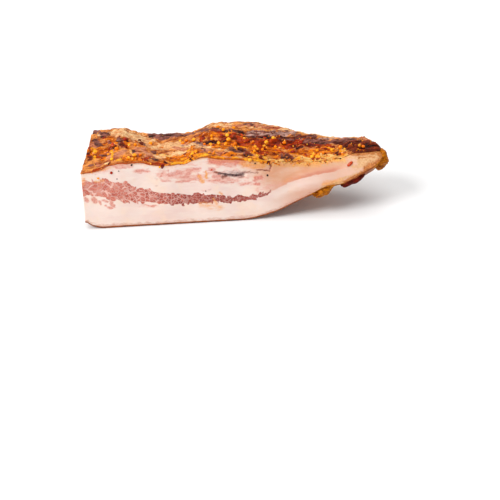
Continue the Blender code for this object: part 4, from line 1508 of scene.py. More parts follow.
@dataclass(frozen=True)
class Crust:
    """The spiced crust over the top and down the back, as a closed shell."""

    columns: int = 380
    tail_columns: int = 28
    top_rows: int = 122
    back_rows: int = 64
    inner_rows: int = 24
    back_share: float = 0.93
    thick: float = 1.5
    proud: float = 0.18
    lip: float = 0.9
    lip_rag: float = 0.6
    lip_wave_along: float = 4.5
    lip_wave_seat: float = 3.3
    lip_crest_along: float = 3.6
    lip_crest_seat: float = 7.7
    lip_crest_height: float = 5.0
    lip_crest_drop: float = 1.5
    lip_limits: Span = (0.5, 4.0)
    ragged_in: Span = (128.0, 20.0)
    fibres: Relief = Relief(11.0, 2.4, 0.6, 1.3)
    crags: Relief = Relief(4.6, 2.8, 0.75, 7.7)
    grit: Relief = Relief(1.9, 1.4, 0.36, 12.4)
    swells: Relief = Relief(22.0, 3.4, 0.5, 20.5)
    calm: float = 2.0
    calm_start: float = -0.4
    waver: Relief = Relief(5.5, 3.0, 2.4, 31.0)
    waver_shift: float = 90.0
    waver_flat: float = 0.7

    def outer(self, x: Array) -> Array:
        """The crust's outer surface.

        Args:
            x: Stations along the slab.

        Returns:
            Its sections, each from the cut edge over the crest and down the back.
        """
        over = np.linspace(0, 1, self.top_rows, endpoint=False)
        down = np.linspace(0, self.back_share, self.back_rows)
        x = x[:, None]
        top = JOWL.crust(x, np.broadcast_to(over, (len(x), len(over))))
        back = JOWL.back(x, np.broadcast_to(down, (len(x), len(down))))
        return np.concatenate((top, back), 1)

    def arc(self, grid: Array) -> Array:
        """How far over the crust each place lies from the cut edge, in millimetres."""
        steps = np.linalg.norm(np.diff(grid[..., 1:], axis=1), axis=-1)
        return np.concatenate((np.zeros((len(grid), 1)), np.cumsum(steps, 1)), 1)

    def heights(self, grid: Array) -> Array:
        """Heights of the fibres, crags and grit, calm at the cut edge.

        Args:
            grid: The outer surface.

        Returns:
            The height at each of its places.
        """
        x, over, fibres = grid[..., 0], self.arc(grid), self.fibres
        height = fibres.height * (ridges(x / fibres.along, over / fibres.across, fibres.seat) - 0.5)
        height = height + self.crags.at(x, over) + self.grit.at(x, over) + self.swells.at(x, over)
        return height * ramp(over, self.calm_start, self.calm)

    def lip_depth(self, x: Array) -> Array:
        """How far the crust hangs over the cut face, raggedly towards the tail.

        Args:
            x: Stations along the slab.

        Returns:
            The depth at each.
        """
        waves = bumps(x / self.lip_wave_along, self.lip_wave_seat, 0)
        crests = ridges(x / self.lip_crest_along, self.lip_crest_seat, 0) * self.lip_crest_height
        crests = crests - self.lip_crest_drop
        rag = self.lip_rag * (waves + ramp(x, *self.ragged_in) * crests)
        return np.clip(self.lip + rag, *self.lip_limits)

    def build(self, skin: Skin) -> Piece:
        """Makes the shell and stores its fibre direction and tones on it.

        Args:
            skin: Its material.

        Returns:
            The piece.
        """
        x = JOWL.stations(self.columns, self.tail_columns, self.proud)
        smooth = self.outer(x)
        heights, normals = self.heights(smooth), surface_normals(smooth)
        rough = smooth + normals * heights[..., None]
        rough[:, 0, 1] -= self.proud
        picks = np.linspace(smooth.shape[1] - 1, 0, self.inner_rows).astype(int)
        inner = (smooth - normals * self.thick)[:, picks]
        inner[:, -1] = smooth[:, 0] - np.stack((0 * x, 0 * x + self.proud, self.lip_depth(x)), -1)
        rings = np.concatenate((rough, inner), 1)
        piece = make_shell("spiced_crust", rings, skin)
        arc = self.arc(smooth)
        along, over = rings[..., 0].ravel(), np.concatenate((arc, arc[:, picks]), 1).ravel()
        give(piece.data, "fibre", along, over, 0 * over)
        give(piece.data, "raised", np.concatenate((heights, heights[:, picks]), 1).ravel())
        bent_over = over + self.waver.at(along + self.waver_shift, over) * self.waver_flat
        bent_along = along + self.waver.at(along, over)
        for tone, marks in CRUST_STROKES.items():
            give(piece.data, tone.name, painted(marks, bent_along, bent_over))
        give(piece.data, "crumbs", CrumbCover().at(along, over))
        give(piece.data, "clumps", painted(CLUMPS, along, over))
        return piece


@dataclass(frozen=True)
class CrustPaint:
    """Colours of the crust: a light and a dark one for each tone, and for the bare crust under them."""

    fibres: Tree
    moist: Tree
    bare: tuple[Colour, Colour] = (linear(244, 156, 78), linear(146, 58, 14))
    tones: tuple[tuple[Tone, Colour, Colour], ...] = (
        (Tone.TAN, linear(255, 212, 154), linear(218, 138, 82)),
        (Tone.SALMON, linear(230, 152, 110), linear(166, 76, 46)),
        (Tone.AMBER, linear(248, 132, 6), linear(142, 46, 0)),
        (Tone.GOLD, linear(255, 188, 42), linear(236, 122, 0)),
        (Tone.CREAM, linear(255, 214, 134), linear(226, 142, 52)),
        (Tone.RED, linear(190, 60, 0), linear(80, 9, 0)),
        (Tone.GREY, linear(214, 164, 148), linear(84, 42, 30)),
        (Tone.PURPLE, linear(160, 96, 82), linear(54, 20, 8)),
        (Tone.MAROON, linear(142, 50, 14), linear(40, 2, 0)),
    )
    rim: Colour = linear(184, 76, 24)
    speck: Colour = linear(40, 18, 10)
    broad: Strands = Strands(0.14, 0.5)
    broad_shade: float = 0.46
    close: Strands = Strands(0.4, 1.1)
    close_shift: float = 57.0
    close_shade: float = 0.3
    close_height: float = 0.6
    grit: Clouds = Clouds(0.85, 4, 0.7)
    grit_fade: Fade = Fade(0.36, 0.64, 0.24)
    grit_height: float = 1.2
    # How much lighter the crests and darker the hollows are painted: painted light and shade that follow the
    # relief.
    painted_relief_shade: float = 0.8
    patches: Clouds = Clouds(1, 5, 0.66, 0.7, (0.26, 0.6, 1))
    patch_shift: float = 11.0
    patch_swing: float = 1.9
    patch_fade: Fade = Fade(0.4, 0.6)
    rim_over: Fade = Fade(0.8, 0.1)
    rim_along: Fade = Fade(86.0, 68.0)
    rim_blotches: Span = (0.1, 0.6)
    rim_shares: Span = (0.35, 0.9)
    speck_size: float = 0.42
    speck_fade: Fade = Fade(0.2, 0.12, 0.85)
    speck_blotches: Fade = Fade(0.35, 0.6)
    wetness: Wetness = Wetness(0.5, 0.22, 0.35)
    bump: Span = (1.1, 0.85)

    def paint(self, g: Graph) -> Painted:
        """The bare crust, each tone in ragged patches over it, then its dark rim and specks.

        Args:
            g: The material's graph.

        Returns:
            Its colour, roughness and normal.
        """
        where = g.attribute("fibre")
        along, over, _ = g.split(where)
        broad = self.broad.read(g, self.fibres, where)
        close = self.close.read(g, self.fibres, g.stretch(where, (1, 1, 1), self.close_shift))
        grit = g.noise(where, self.grit)
        shade = g.times(broad["Strands"], self.broad_shade)
        shade = g.plus(shade, g.times(close["Strands"], self.close_shade))
        shade = g.plus(shade, g.fade(grit, self.grit_fade))
        # Painted light and shade: the higher the relief, the lighter the crust's colour, the lower, the
        # darker.
        shade = g.math("SUBTRACT", shade, g.times(g.number("raised"), self.painted_relief_shade), clamp=True)
        colour = g.blend(shade, *self.bare)
        for tone, light, dark in self.tones:
            patches = g.noise(where, replace(self.patches, move=self.patch_shift * (tone.value + 1)))
            share = g.plus(g.number(tone.name), g.swing(patches, self.patch_swing))
            colour = g.blend(g.fade(share, self.patch_fade), colour, g.blend(shade, light, dark))
        rim = g.times(g.fade(over, self.rim_over), g.fade(along, self.rim_along))
        rim = g.times(rim, g.step(broad["Blotches"], *self.rim_blotches, self.rim_shares))
        colour = g.blend(rim, colour, self.rim)
        specks = g.fade(g.cells(where, "F1", self.speck_size).outputs["Distance"], self.speck_fade)
        specks = g.times(specks, g.fade(broad["Blotches"], self.speck_blotches))
        colour = g.blend(specks, colour, self.speck)
        height = g.plus(broad["Height"], g.times(close["Height"], self.close_height))
        height = g.plus(height, g.times(grit, self.grit_height))
        return colour, self.wetness.read(g, self.moist, where), g.bump(height, *self.bump)


# ---------------- the rind


@dataclass(frozen=True)
class Rind:
    """The skin the slab lies on: over the underside, up the heel and in a thin line below the cut face."""

    columns: int = 240
    tail_columns: int = 22
    heel_rows: int = 8
    sole_rows: int = 52
    edge_rows: int = 7
    inner_rows: int = 14
    heel_from: float = 0.86
    thick: float = 1.4
    proud: float = 0.12
    overlap: float = 0.9
    wrinkles: Relief = Relief(9.0, 3.0, 0.35, 5.9)
    pores: Relief = Relief(2.4, 2.4, 0.16, 8.8)
    flat_share: float = 0.35
    wrinkled: Span = (150.0, 40.0)
    gold_in: Span = (168.0, 20.0)
    gold_out: Span = (200.0, 12.0)
    gold_tip: Span = (224.0, 8.0)
    maroon_in: Span = (200.0, 8.0)
    maroon_out: Span = (224.0, 6.0)

    def build(self, skin: Skin) -> Piece:
        """Makes the shell and stores how gold or dark the skin is.

        Args:
            skin: Its material.

        Returns:
            The piece.
        """
        x = JOWL.stations(self.columns, self.tail_columns, self.proud)
        heel = np.linspace(self.heel_from, 1, self.heel_rows, endpoint=False)
        sole = np.linspace(0, 1, self.sole_rows, endpoint=False)
        edge = np.linspace(0, 1, self.edge_rows)
        parts = ((JOWL.back, heel), (JOWL.sole, sole), (JOWL.rind_edge, edge))
        smooth = [form(x[:, None], np.broadcast_to(t, (len(x), len(t)))) for form, t in parts]
        smooth = np.concatenate(smooth, 1)
        normals, round_it = surface_normals(smooth), smooth[..., 1] + smooth[..., 2]
        tail = ramp(x, *self.wrinkled)[:, None]
        height = self.wrinkles.at(smooth[..., 0], round_it) * (self.flat_share + tail)
        height = height + self.pores.at(smooth[..., 0], round_it)
        rough = smooth + normals * height[..., None]
        rough[:, -1] = smooth[:, -1] + [0, -self.proud, self.overlap]
        rough[:, -2, 1] -= self.proud
        rough[..., 2] = np.maximum(rough[..., 2], 0)
        picks = np.linspace(smooth.shape[1] - 1, 0, self.inner_rows).astype(int)
        inner = (smooth - normals * self.thick)[:, picks]
        inner[:, 0] = smooth[:, -1] + [0, self.thick, self.overlap]
        rings = np.concatenate((rough, inner), 1)
        piece = make_shell("rind", rings, skin)
        along = rings[..., 0].ravel()
        gold = ramp(along, *self.gold_in) * (1 - ramp(along, *self.gold_out)) + ramp(along, *self.gold_tip)
        below = np.arange(along.size) % rings.shape[1] < len(heel) + len(sole)
        maroon = ramp(along, *self.maroon_in) * (1 - ramp(along, *self.maroon_out)) * below
        give(piece.data, "skin", gold, maroon, 0 * gold)
        return piece


@dataclass(frozen=True)
class Lobe:
    """A ragged lump of rind: its middle, half sizes, slope in degrees and how gold and maroon it is."""

    centre: Triple
    half: Triple
    slope: float
    gold: float
    maroon: float


@dataclass(frozen=True)
class Lobes:
    """The lumps of rind that hang below the raised tail."""

    lobes: tuple[Lobe, ...] = (
        Lobe((189.5, 4.5, 21.6), (9.5, 6.0, 4.4), 22, 1.15, 0.0),
        Lobe((212.0, 6.5, 29.8), (11.5, 7.0, 4.6), 22, 0.0, 1.0),
        Lobe((237.0, 14.0, 40.5), (5.8, 7.5, 8.4), -12, 1.0, 0.0),
    )
    rag_size: float = 6.0
    rag_share: float = 0.3
    splits: int = 6
    folds: Relief = Relief(3.4, 2.0, 0.55, 2.1)
    fold_slant: float = 1.7

    def build(self, skin: Skin) -> Piece:
        """Makes the lumps as one mesh.

        Args:
            skin: Their material.

        Returns:
            The piece.
        """
        ball, ball_faces = self.ball()
        faces = [[n + row * len(ball) for n in face] for row in range(len(self.lobes)) for face in ball_faces]
        form = np.concatenate([self.shape(lobe, ball) for lobe in self.lobes])
        form = form - (JOWL.centre_x, JOWL.centre_y, 0)
        piece = make_object("tail_rind", form * MM, faces, skin)
        tones = np.repeat([(lobe.gold, lobe.maroon, 0.0) for lobe in self.lobes], len(ball), axis=0)
        give(piece.data, "skin", *tones.T)
        return piece

    def ball(self) -> tuple[Array, Faces]:
        """A unit ball of even triangles.

        Returns:
            Its vertices and its faces.
        """
        mesh = bpy.data.meshes.new("ball")
        work = bmesh.new()
        bmesh.ops.create_icosphere(work, subdivisions=self.splits, radius=1)
        work.to_mesh(mesh)
        work.free()
        spots = np.array([v.co for v in mesh.vertices])
        faces = [list(p.vertices) for p in mesh.polygons]
        bpy.data.meshes.remove(mesh)
        return spots, faces

    def shape(self, lobe: Lobe, ball: Array) -> Array:
        """One lump.

        Args:
            lobe: Its middle, size and slope.
            ball: A unit ball's vertices.

        Returns:
            Its vertices, in the slab's millimetres.
        """
        stretched = ball * lobe.half
        swell = bumps(*((stretched + lobe.centre) / self.rag_size).T)
        across = stretched[:, 1] + stretched[:, 2] * self.fold_slant
        fine = self.folds.at(stretched[:, 0] + lobe.centre[0], across)
        shaped = stretched * (1 + self.rag_share * swell)[:, None] + ball * fine[:, None]
        tilt = np.array(Matrix.Rotation(-math.radians(lobe.slope), 3, "Y"))
        return shaped @ tilt.T + lobe.centre


@dataclass(frozen=True)
class RindPaint:
    """Colours of the skin, each a light and a dark one, and how they mix."""

    fibres: Tree
    moist: Tree
    brown: tuple[Colour, Colour] = (linear(170, 92, 44), linear(104, 46, 18))
    gold: tuple[Colour, Colour] = (linear(204, 122, 12), linear(104, 40, 0))
    maroon: tuple[Colour, Colour] = (linear(112, 24, 6), linear(50, 4, 0))
    strands: Strands = Strands(0.3, 0.6)
    strand_shade: float = 0.6
    blotch_shade: float = 0.4
    rag: float = 0.6
    tone_fade: Fade = Fade(0.3, 0.7)
    wetness: Wetness = Wetness(0.42, 0.22, 0.4)
    bump: Span = (0.4, 0.6)

    def paint(self, g: Graph) -> Painted:
        """Brown skin that turns gold or maroon below the tail.

        Args:
            g: The material's graph.

        Returns:
            Its colour, roughness and normal.
        """
        here = g.millimetres()
        gold, maroon, _ = g.split(g.attribute("skin"))
        grain = self.strands.read(g, self.fibres, here)
        rag = g.swing(grain["Blotches"], self.rag)
        shade = g.times(grain["Strands"], self.strand_shade)
        shade = g.plus(shade, g.times(grain["Blotches"], self.blotch_shade))
        colour = g.blend(shade, *self.brown)
        for share, tones in ((gold, self.gold), (maroon, self.maroon)):
            colour = g.blend(g.fade(g.plus(share, rag), self.tone_fade), colour, g.blend(shade, *tones))
        return colour, self.wetness.read(g, self.moist, here), g.bump(grain["Height"], *self.bump)


# ---------------- spices


@dataclass(frozen=True)
class SpiceKind:
    """One kind of spice: its lengths, its width and thickness as shares of them, how deep it is sunk."""

    length: Span
    width: Span
    thick: float
    sunk: float


SEED = SpiceKind((2.5, 3.6), (0.72, 1.0), 0.82, 0.28)
FLAKE = SpiceKind((3.0, 4.4), (0.5, 0.8), 0.34, 0.3)
BIT = SpiceKind((1.5, 2.0), (0.7, 0.9), 0.6, 0.35)


@dataclass(frozen=True)
class Seat:
    """One spice in its place: kind, middle in metres, turn, sizes in metres and how dark it is."""

    kind: SpiceKind
    place: Vector
    turn: Matrix
    size: Triple
    tone: float


@dataclass(frozen=True)
class Speck:
    """A spice on the cut face: its place, length, width as a share, slope in degrees, how dark it is."""

    kind: SpiceKind
    x: float
    z: float
    length: float
    width: float
    slope: float
    tone: float


CHILLI_SPECKS = (
    Speck(FLAKE, 65.4, 52.7, 3.9, 0.55, 74, 0.95), Speck(FLAKE, 210.4, 43.2, 5.6, 0.42, 48, 0.25),
    Speck(BIT, 26.2, 49.6, 2.2, 0.8, 130, 0.4), Speck(BIT, 102.6, 47.6, 1.6, 0.7, 20, 0.1))
MUSTARD_SPECKS = (Speck(BIT, 16.0, 45.2, 1.9, 0.9, 0, 0.6), Speck(BIT, 63.3, 52.2, 2.2, 0.7, 60, 0.3))
PEPPER_SPECKS = tuple(Speck(BIT, *row) for row in (
    (42.2, 55.2, 1.7, 0.9, 60, 0.8), (32.0, 50.6, 1.2, 0.9, 60, 0.6), (30.2, 44.0, 1.1, 0.9, 80, 0.1),
    (145.2, 39.6, 1.7, 0.9, 150, 1.0), (97.4, 29.0, 0.9, 0.9, 80, 0.1), (191.7, 44.3, 1.3, 0.7, 20, 0.5),
    (203.4, 46.2, 1.2, 0.8, 20, 0.6), (135.6, 51.0, 1.4, 0.7, 70, 0.5), (187.0, 45.0, 1.0, 0.8, 0, 0.4)))


@dataclass(frozen=True)
class SpiceRule:
    """Where the larger spices sit on the crust: the same clusters and draws as the solid's.

    The solid's two flakes on the cut face use up the first draws. They are made one by one, as specks.
    """

    seed_clusters: tuple[Cluster, ...] = (
        (9, 24, 3, 10, 3), (27, 21, 7, 6, 4), (39, 31, 4, 5, 3), (44, 10, 9, 6, 7), (29, 6, 6, 2, 2),
        (56, 46, 2, 2, 1), (82, 42, 10, 6, 7), (88, 11, 7, 8, 5), (103, 31, 8, 10, 9), (114, 41, 8, 9, 9),
        (120, 30, 5, 5, 3), (137, 21, 8, 6, 4), (150, 32, 10, 4, 4), (186, 16, 12, 4, 4), (204, 22, 6, 5, 3),
        (221, 18, 6, 4, 3))
    flake_clusters: tuple[Cluster, ...] = (
        (30, 30, 22, 16, 5), (112, 38, 16, 12, 6), (160, 33, 28, 6, 5))
    face_flakes: tuple[Span, ...] = ((66, 0.985), (211, 0.7))
    back_seeds: int = 22
    back_x: Span = (12.0, 200.0)
    back_t: Span = (0.08, 0.55)
    end_gaps: Span = (6.0, 12.0)
    kept_t: Span = (0.07, 0.93)
    feel_x: float = 1.5
    feel_t: float = 0.02
    gap: float = 3.9
    draw_number: int = 11
    tone_step: float = 0.618

    def seat_on(self, surface: Surface, x: float, t: float) -> tuple[Vector, Vector]:
        """A place on one of the slab's surfaces.

        Args:
            surface: The surface.
            x: The place along the slab.
            t: The share of the way over the surface.

        Returns:
            The place in metres and the outward normal there.
        """
        xs = np.array([x, x + self.feel_x, x - self.feel_x, x, x])
        ts = np.array([t, t, t, t + self.feel_t, t - self.feel_t])
        spots = [Vector(p) for p in JOWL.placed(surface(xs, ts))]
        return spots[0], (spots[1] - spots[2]).cross(spots[3] - spots[4]).normalized()

    def crust_share(self, x: float, y: float) -> float:
        """How far over the crust a depth lies, from 0 at the cut edge to 1 at the shoulder.

        Args:
            x: The place along the slab.
            y: The depth behind the cut face.

        Returns:
            The share.
        """
        at = np.array([x])
        brow_y, crest_y = read_curve(JOWL.brow_depth, at)[0], read_curve(JOWL.crest_depth, at)[0]
        return (y - brow_y) / (crest_y + JOWL.shoulder_run - brow_y)

    def scattered(self, clusters: Sequence[Cluster],
                  draw: random.Random) -> Iterator[tuple[Surface, float, float]]:
        """Places on the crust, drawn round each cluster's middle.

        Args:
            clusters: Each one's x and y, how far it spreads along both and how many spices it has.
            draw: The random numbers.

        Yields:
            The surface, the place along the slab and the share of the way over it.
        """
        for x, y, spread_x, spread_y, count in clusters:
            for _ in range(count):
                near_x, near_y = draw.gauss(x, spread_x / 2), draw.gauss(y, spread_y / 2)
                yield JOWL.crust, near_x, self.crust_share(near_x, near_y)

    def allowed(self, surface: Surface, x: float, t: float) -> bool:
        """Whether a place is far enough from the slab's ends and its surface's edges, or on the cut face."""
        (start_gap, tail_gap), (low, high) = self.end_gaps, self.kept_t
        return surface == JOWL.cut or (JOWL.end_x + start_gap < x < JOWL.tip_x - tail_gap and low < t < high)

    def seats(self) -> list[Seat]:
        """Every larger spice on the crust.

        Returns:
            The seats, none closer than the gap to another.
        """
        draw = random.Random(self.draw_number)
        wanted = [(FLAKE, JOWL.cut, x, t) for x, t in self.face_flakes]
        wanted += [(SEED, *place) for place in self.scattered(self.seed_clusters, draw)]
        wanted += [(FLAKE, *place) for place in self.scattered(self.flake_clusters, draw)]
        wanted += [(SEED, JOWL.back, draw.uniform(*self.back_x), draw.uniform(*self.back_t))
                   for _ in range(self.back_seeds)]
        kept = []
        for kind, surface, x, t in wanted:
            if not self.allowed(surface, x, t):
                continue
            place, normal = self.seat_on(surface, x, t)
            if all((place - other).length > self.gap * MM for _, other, _ in kept):
                kept.append((kind, place, normal))
        seats = [self.seat(*spice, draw, row * self.tone_step % 1) for row, spice in enumerate(kept)]
        return seats[len(self.face_flakes):]

    def pressed(self, kind: SpiceKind, spot: tuple[Vector, Vector], size: Span, spin: float,
                tone: float) -> Seat:
        """One spice pressed into a surface.

        Args:
            kind: What it is.
            spot: Where it sits, in metres, and the surface's outward normal there.
            size: Its length and width, in metres.
            spin: How far it is turned on the surface.
            tone: How dark it is.

        Returns:
            Its seat.
        """
        (place, normal), (length, width) = spot, size
        thick = length * kind.thick
        turn = normal.to_track_quat("Z", "Y").to_matrix() @ Matrix.Rotation(spin, 3, "Z")
        return Seat(kind, place + normal * thick * (0.5 - kind.sunk), turn, (length, width, thick), tone)

    def seat(self, kind: SpiceKind, place: Vector, normal: Vector, draw: random.Random, tone: float) -> Seat:
        """One spice of a size and turn of its own.

        Args:
            kind: What it is.
            place: Where it sits, in metres.
            normal: The surface's outward normal there.
            draw: The random numbers for its size and turn.
            tone: How dark it is.

        Returns:
            Its seat.
        """
        length = draw.uniform(*kind.length) * MM
        width = length * draw.uniform(*kind.width)
        return self.pressed(kind, (place, normal), (length, width), draw.uniform(0, math.pi), tone)

    def speck(self, speck: Speck) -> Seat:
        """One spice stuck to the cut face, turned as it lies there.

        Args:
            speck: The spice.

        Returns:
            Its seat.
        """
        foot, brow = (JOWL.cut(np.array([speck.x]), np.array([t]))[0, 2] for t in (0.0, 1.0))
        place, normal = self.seat_on(JOWL.cut, speck.x, (speck.z - foot) / (brow - foot))
        length = speck.length * MM
        size = (length, length * speck.width)
        return self.pressed(speck.kind, (place, normal), size, math.radians(speck.slope), speck.tone)


class Grain(Enum):
    """The shapes of spice that the grain tree makes, as how often the ball is split."""

    ROUND = 3
    CHIP = 2
    CRUMB = 1


@dataclass(frozen=True)
class Heap:
    """All the grains of one kind, as one piece.

    A heap without a cover has seats of its own. One with a cover is scattered where that number is stored.
    Sizes and unevenness are in millimetres, and the density is by the square metre.
    """

    name: str
    shape: Grain
    finish: str
    slot: str
    unevenness: float
    draw: int
    cover: str = ""
    size: float = 1.0
    spread: float = 0.4
    density: float = 0.0


SEATED = (
    Heap("mustard_seeds", Grain.ROUND, "mustard", "mustard_seed", 0.7, 3),
    Heap("chilli_flakes", Grain.ROUND, "chilli", "chilli_flake", 1.4, 5),
    Heap("face_pepper", Grain.CHIP, "pepper", "pepper", 0.5, 17))
SCATTERED = (
    Heap("spice_crumbs", Grain.CRUMB, "crumb", "spice_crust", 0.5, 8, "crumbs", 1.05, 0.5, 230000.0),
    Heap("fallen_crumbs", Grain.CRUMB, "crumb", "spice_crust", 0.5, 29, "edge_crumbs", 1.05, 0.5, 800000.0),
    Heap("amber_clumps", Grain.CHIP, "crumb", "spice_crust", 1.2, 21, "clumps", 2.6, 0.45, 130000.0),
    Heap("cracked_pepper", Grain.CHIP, "pepper", "pepper", 0.8, 13, "crumbs", 1.25, 0.4, 3800.0))


class GrainTree:
    """A node tree that sets one grain on each point of a mesh, or scatters grains over its faces."""

    ball_radius: float = 0.5
    bump_scale: float = 420.0
    sizes: tuple[tuple[str, float], ...] = (
        ("Size", 1.0), ("Spread", 0.4), ("Unevenness", 0.1), ("Density", 0.0))

    def __init__(self, heap: Heap, skin: Skin) -> None:
        """Builds the tree.

        Args:
            heap: The grains it makes.
            skin: Their material.
        """
        self.heap = heap
        self.tree = bpy.data.node_groups.new(heap.name, "GeometryNodeTree")
        self.graph = Graph(self.tree)
        self.tree.interface.new_socket("Geometry", in_out="INPUT", socket_type="NodeSocketGeometry")
        for key, default in self.sizes:
            socket = self.tree.interface.new_socket(key, in_out="INPUT", socket_type="NodeSocketFloat")
            socket.default_value = default
        self.tree.interface.new_socket("Draw", in_out="INPUT", socket_type="NodeSocketInt")
        self.tree.interface.new_socket("Geometry", in_out="OUTPUT", socket_type="NodeSocketGeometry")
        self.given = self.graph.add("NodeGroupInput").outputs
        self.shaped(self.scattered() if heap.cover else self.seated(), skin)

    def turned(self, angles: Socket) -> Socket:
        """A turn from three angles."""
        return self.graph.feed(self.graph.add("FunctionNodeEulerToRotation"), Euler=angles).outputs[0]

    def stored(self, name: str, kind: str) -> Socket:
        """What the mesh has stored under a name."""
        node = self.graph.add("GeometryNodeInputNamedAttribute", data_type=kind)
        return self.graph.feed(node, Name=name).outputs["Attribute"]

    def seated(self) -> tuple[Socket, Socket, Socket, Socket]:
        """Grains on stored seats.

        Returns:
            The points, and each one's turn, size and tone.
        """
        g = self.graph
        turn = self.turned(self.stored("turned", "FLOAT_VECTOR"))
        size = g.scaled(self.stored("sized", "FLOAT_VECTOR"), self.given["Size"])
        points = g.feed(g.add("GeometryNodeMeshToPoints"), Mesh=self.given["Geometry"])
        return points.outputs[0], turn, size, self.stored("toned", "FLOAT")

    def drawn(self, kind: str) -> Node:
        """A random value for each grain, by the tree's draw."""
        node = self.graph.add("FunctionNodeRandomValue", data_type=kind)
        return self.graph.feed(node, Seed=self.given["Draw"])

    def scattered(self) -> tuple[Socket, Socket, Socket, Socket]:
        """Grains drawn over the faces, more of them where the covering number is high.

        Returns:
            The points, and each one's turn, size and tone.
        """
        g, given = self.graph, self.given
        density = g.times(self.stored(self.heap.cover, "FLOAT"), given["Density"])
        spread = g.add("GeometryNodeDistributePointsOnFaces", distribute_method="RANDOM")
        g.feed(spread, Mesh=given["Geometry"], Density=density, Seed=given["Draw"])
        away = g.times(given["Size"], given["Spread"])
        sizes = self.drawn("FLOAT_VECTOR")
        limits = (g.minus(given["Size"], away), g.plus(given["Size"], away))
        g.pair(sizes, *(g.joined(size, size, size) for size in limits))
        turns = self.drawn("FLOAT_VECTOR")
        g.put(turns.inputs[1], (math.tau,) * 3)
        tone = next(socket for socket in self.drawn("FLOAT").outputs if socket.enabled)
        return spread.outputs["Points"], self.turned(turns.outputs["Value"]), sizes.outputs["Value"], tone

    def shaped(self, grains: tuple[Socket, Socket, Socket, Socket], skin: Skin) -> None:
        """Sets a grain on each point, realizes them, makes them uneven and gives them their finish.

        Args:
            grains: The points, and each one's turn, size and tone.
            skin: Their material.
        """
        g = self.graph
        points, turn, size, tone = grains
        ball = g.add("GeometryNodeMeshIcoSphere")
        g.feed(ball, Radius=self.ball_radius, Subdivisions=self.heap.shape.value)
        put_on = g.add("GeometryNodeInstanceOnPoints")
        g.feed(put_on, Points=points, Instance=ball.outputs["Mesh"], Rotation=turn, Scale=size)
        kept = g.add("GeometryNodeStoreNamedAttribute", data_type="FLOAT", domain="INSTANCE")
        g.feed(kept, Geometry=put_on.outputs["Instances"], Name="tone", Value=tone)
        real = g.feed(g.add("GeometryNodeRealizeInstances"), Geometry=kept.outputs[0])
        cloud = g.feed(g.add("ShaderNodeTexNoise", noise_dimensions="3D"), Scale=self.bump_scale)
        push = g.swing(cloud.outputs["Fac"], self.given["Unevenness"])
        offset = g.scaled(g.add("GeometryNodeInputNormal").outputs[0], push)
        moved = g.feed(g.add("GeometryNodeSetPosition"), Geometry=real.outputs[0], Offset=offset)
        smooth = g.add("GeometryNodeSetShadeSmooth")
        g.feed(smooth, Geometry=moved.outputs[0], Shade_Smooth=self.heap.shape is Grain.ROUND)
        painted_on = g.feed(g.add("GeometryNodeSetMaterial"), Geometry=smooth.outputs[0], Material=skin)
        g.feed(g.add("NodeGroupOutput"), Geometry=painted_on.outputs[0])

    def grow(self, base: bpy.types.Mesh) -> Piece:
        """Runs the tree on a mesh and keeps the grains as a plain mesh.

        Args:
            base: The seats, or the surface that grains are scattered over.

        Returns:
            The piece.
        """
        heap = self.heap
        values = {
            "Size": heap.size * MM if heap.cover else heap.size,
            "Spread": heap.spread,
            "Unevenness": heap.unevenness * MM,
            "Density": heap.density,
            "Draw": heap.draw,
        }
        piece = bpy.data.objects.new(heap.name, base)
        bpy.context.scene.collection.objects.link(piece)
        grow = piece.modifiers.new("grains", "NODES")
        grow.node_group = self.tree
        names = {i.name: i.identifier for i in self.tree.interface.items_tree if i.in_out == "INPUT"}
        for key, value in values.items():
            grow[names[key]] = value
        ready = piece.evaluated_get(bpy.context.evaluated_depsgraph_get())
        mesh = bpy.data.meshes.new_from_object(ready)
        piece.modifiers.remove(grow)
        piece.data = mesh
        mesh.name = heap.name
        return piece


def seat_mesh(seats: Sequence[Seat]) -> bpy.types.Mesh:
    """A mesh of bare points with each seat's turn, size and tone stored on them.

    Args:
        seats: The seats.

    Returns:
        The mesh, with one point for each.
    """
    mesh = bpy.data.meshes.new("seats")
    mesh.from_pydata([seat.place for seat in seats], [], [])
    give(mesh, "turned", *np.array([seat.turn.to_euler() for seat in seats]).T)
    give(mesh, "sized", *np.array([seat.size for seat in seats]).T)
    give(mesh, "toned", np.array([seat.tone for seat in seats]))
    return mesh


@dataclass(frozen=True)
class SpicePaint:
    """Colours of one kind of grain, from light to dark."""

    light: Colour
    middle: Colour
    dark: Colour
    mottle: Clouds = Clouds(0.8, 3, 0.6)
    mottle_swing: float = 0.9
    middle_fade: Fade = Fade(0.0, 0.5)
    dark_fade: Fade = Fade(0.55, 1.1)
    bump: Span = (0.15, 0.4)

    def paint(self, g: Graph) -> Painted:
        """Each grain's own tone, mottled.

        Args:
            g: The material's graph.

        Returns:
            Its colour, no roughness of its own and its normal.
        """
        mottle = g.noise(g.millimetres(), self.mottle)
        tone = g.plus(g.number("tone"), g.swing(mottle, self.mottle_swing))
        colour = g.blend(g.fade(tone, self.middle_fade), self.light, self.middle)
        colour = g.blend(g.fade(tone, self.dark_fade), colour, self.dark)
        return colour, None, g.bump(mottle, *self.bump)


SPICE_LOOKS = (
    (Finish("mustard", 0.34, specular=0.06, coat=0.3, coat_roughness=0.07),
     SpicePaint(linear(255, 184, 40), linear(252, 150, 6), linear(230, 106, 0))),
    (Finish("chilli", 0.4, specular=0.1, coat=0.2, coat_roughness=0.1),
     SpicePaint(linear(206, 72, 12), linear(156, 30, 2), linear(90, 6, 0))),
    (Finish("crumb", 0.4, specular=0.06, coat=0.35, coat_roughness=0.07),
     SpicePaint(linear(255, 180, 52), linear(228, 120, 16), linear(132, 44, 4))),
    (Finish("pepper", 0.5, specular=0.15),
     SpicePaint(linear(120, 72, 66), linear(52, 32, 28), linear(22, 12, 12))))


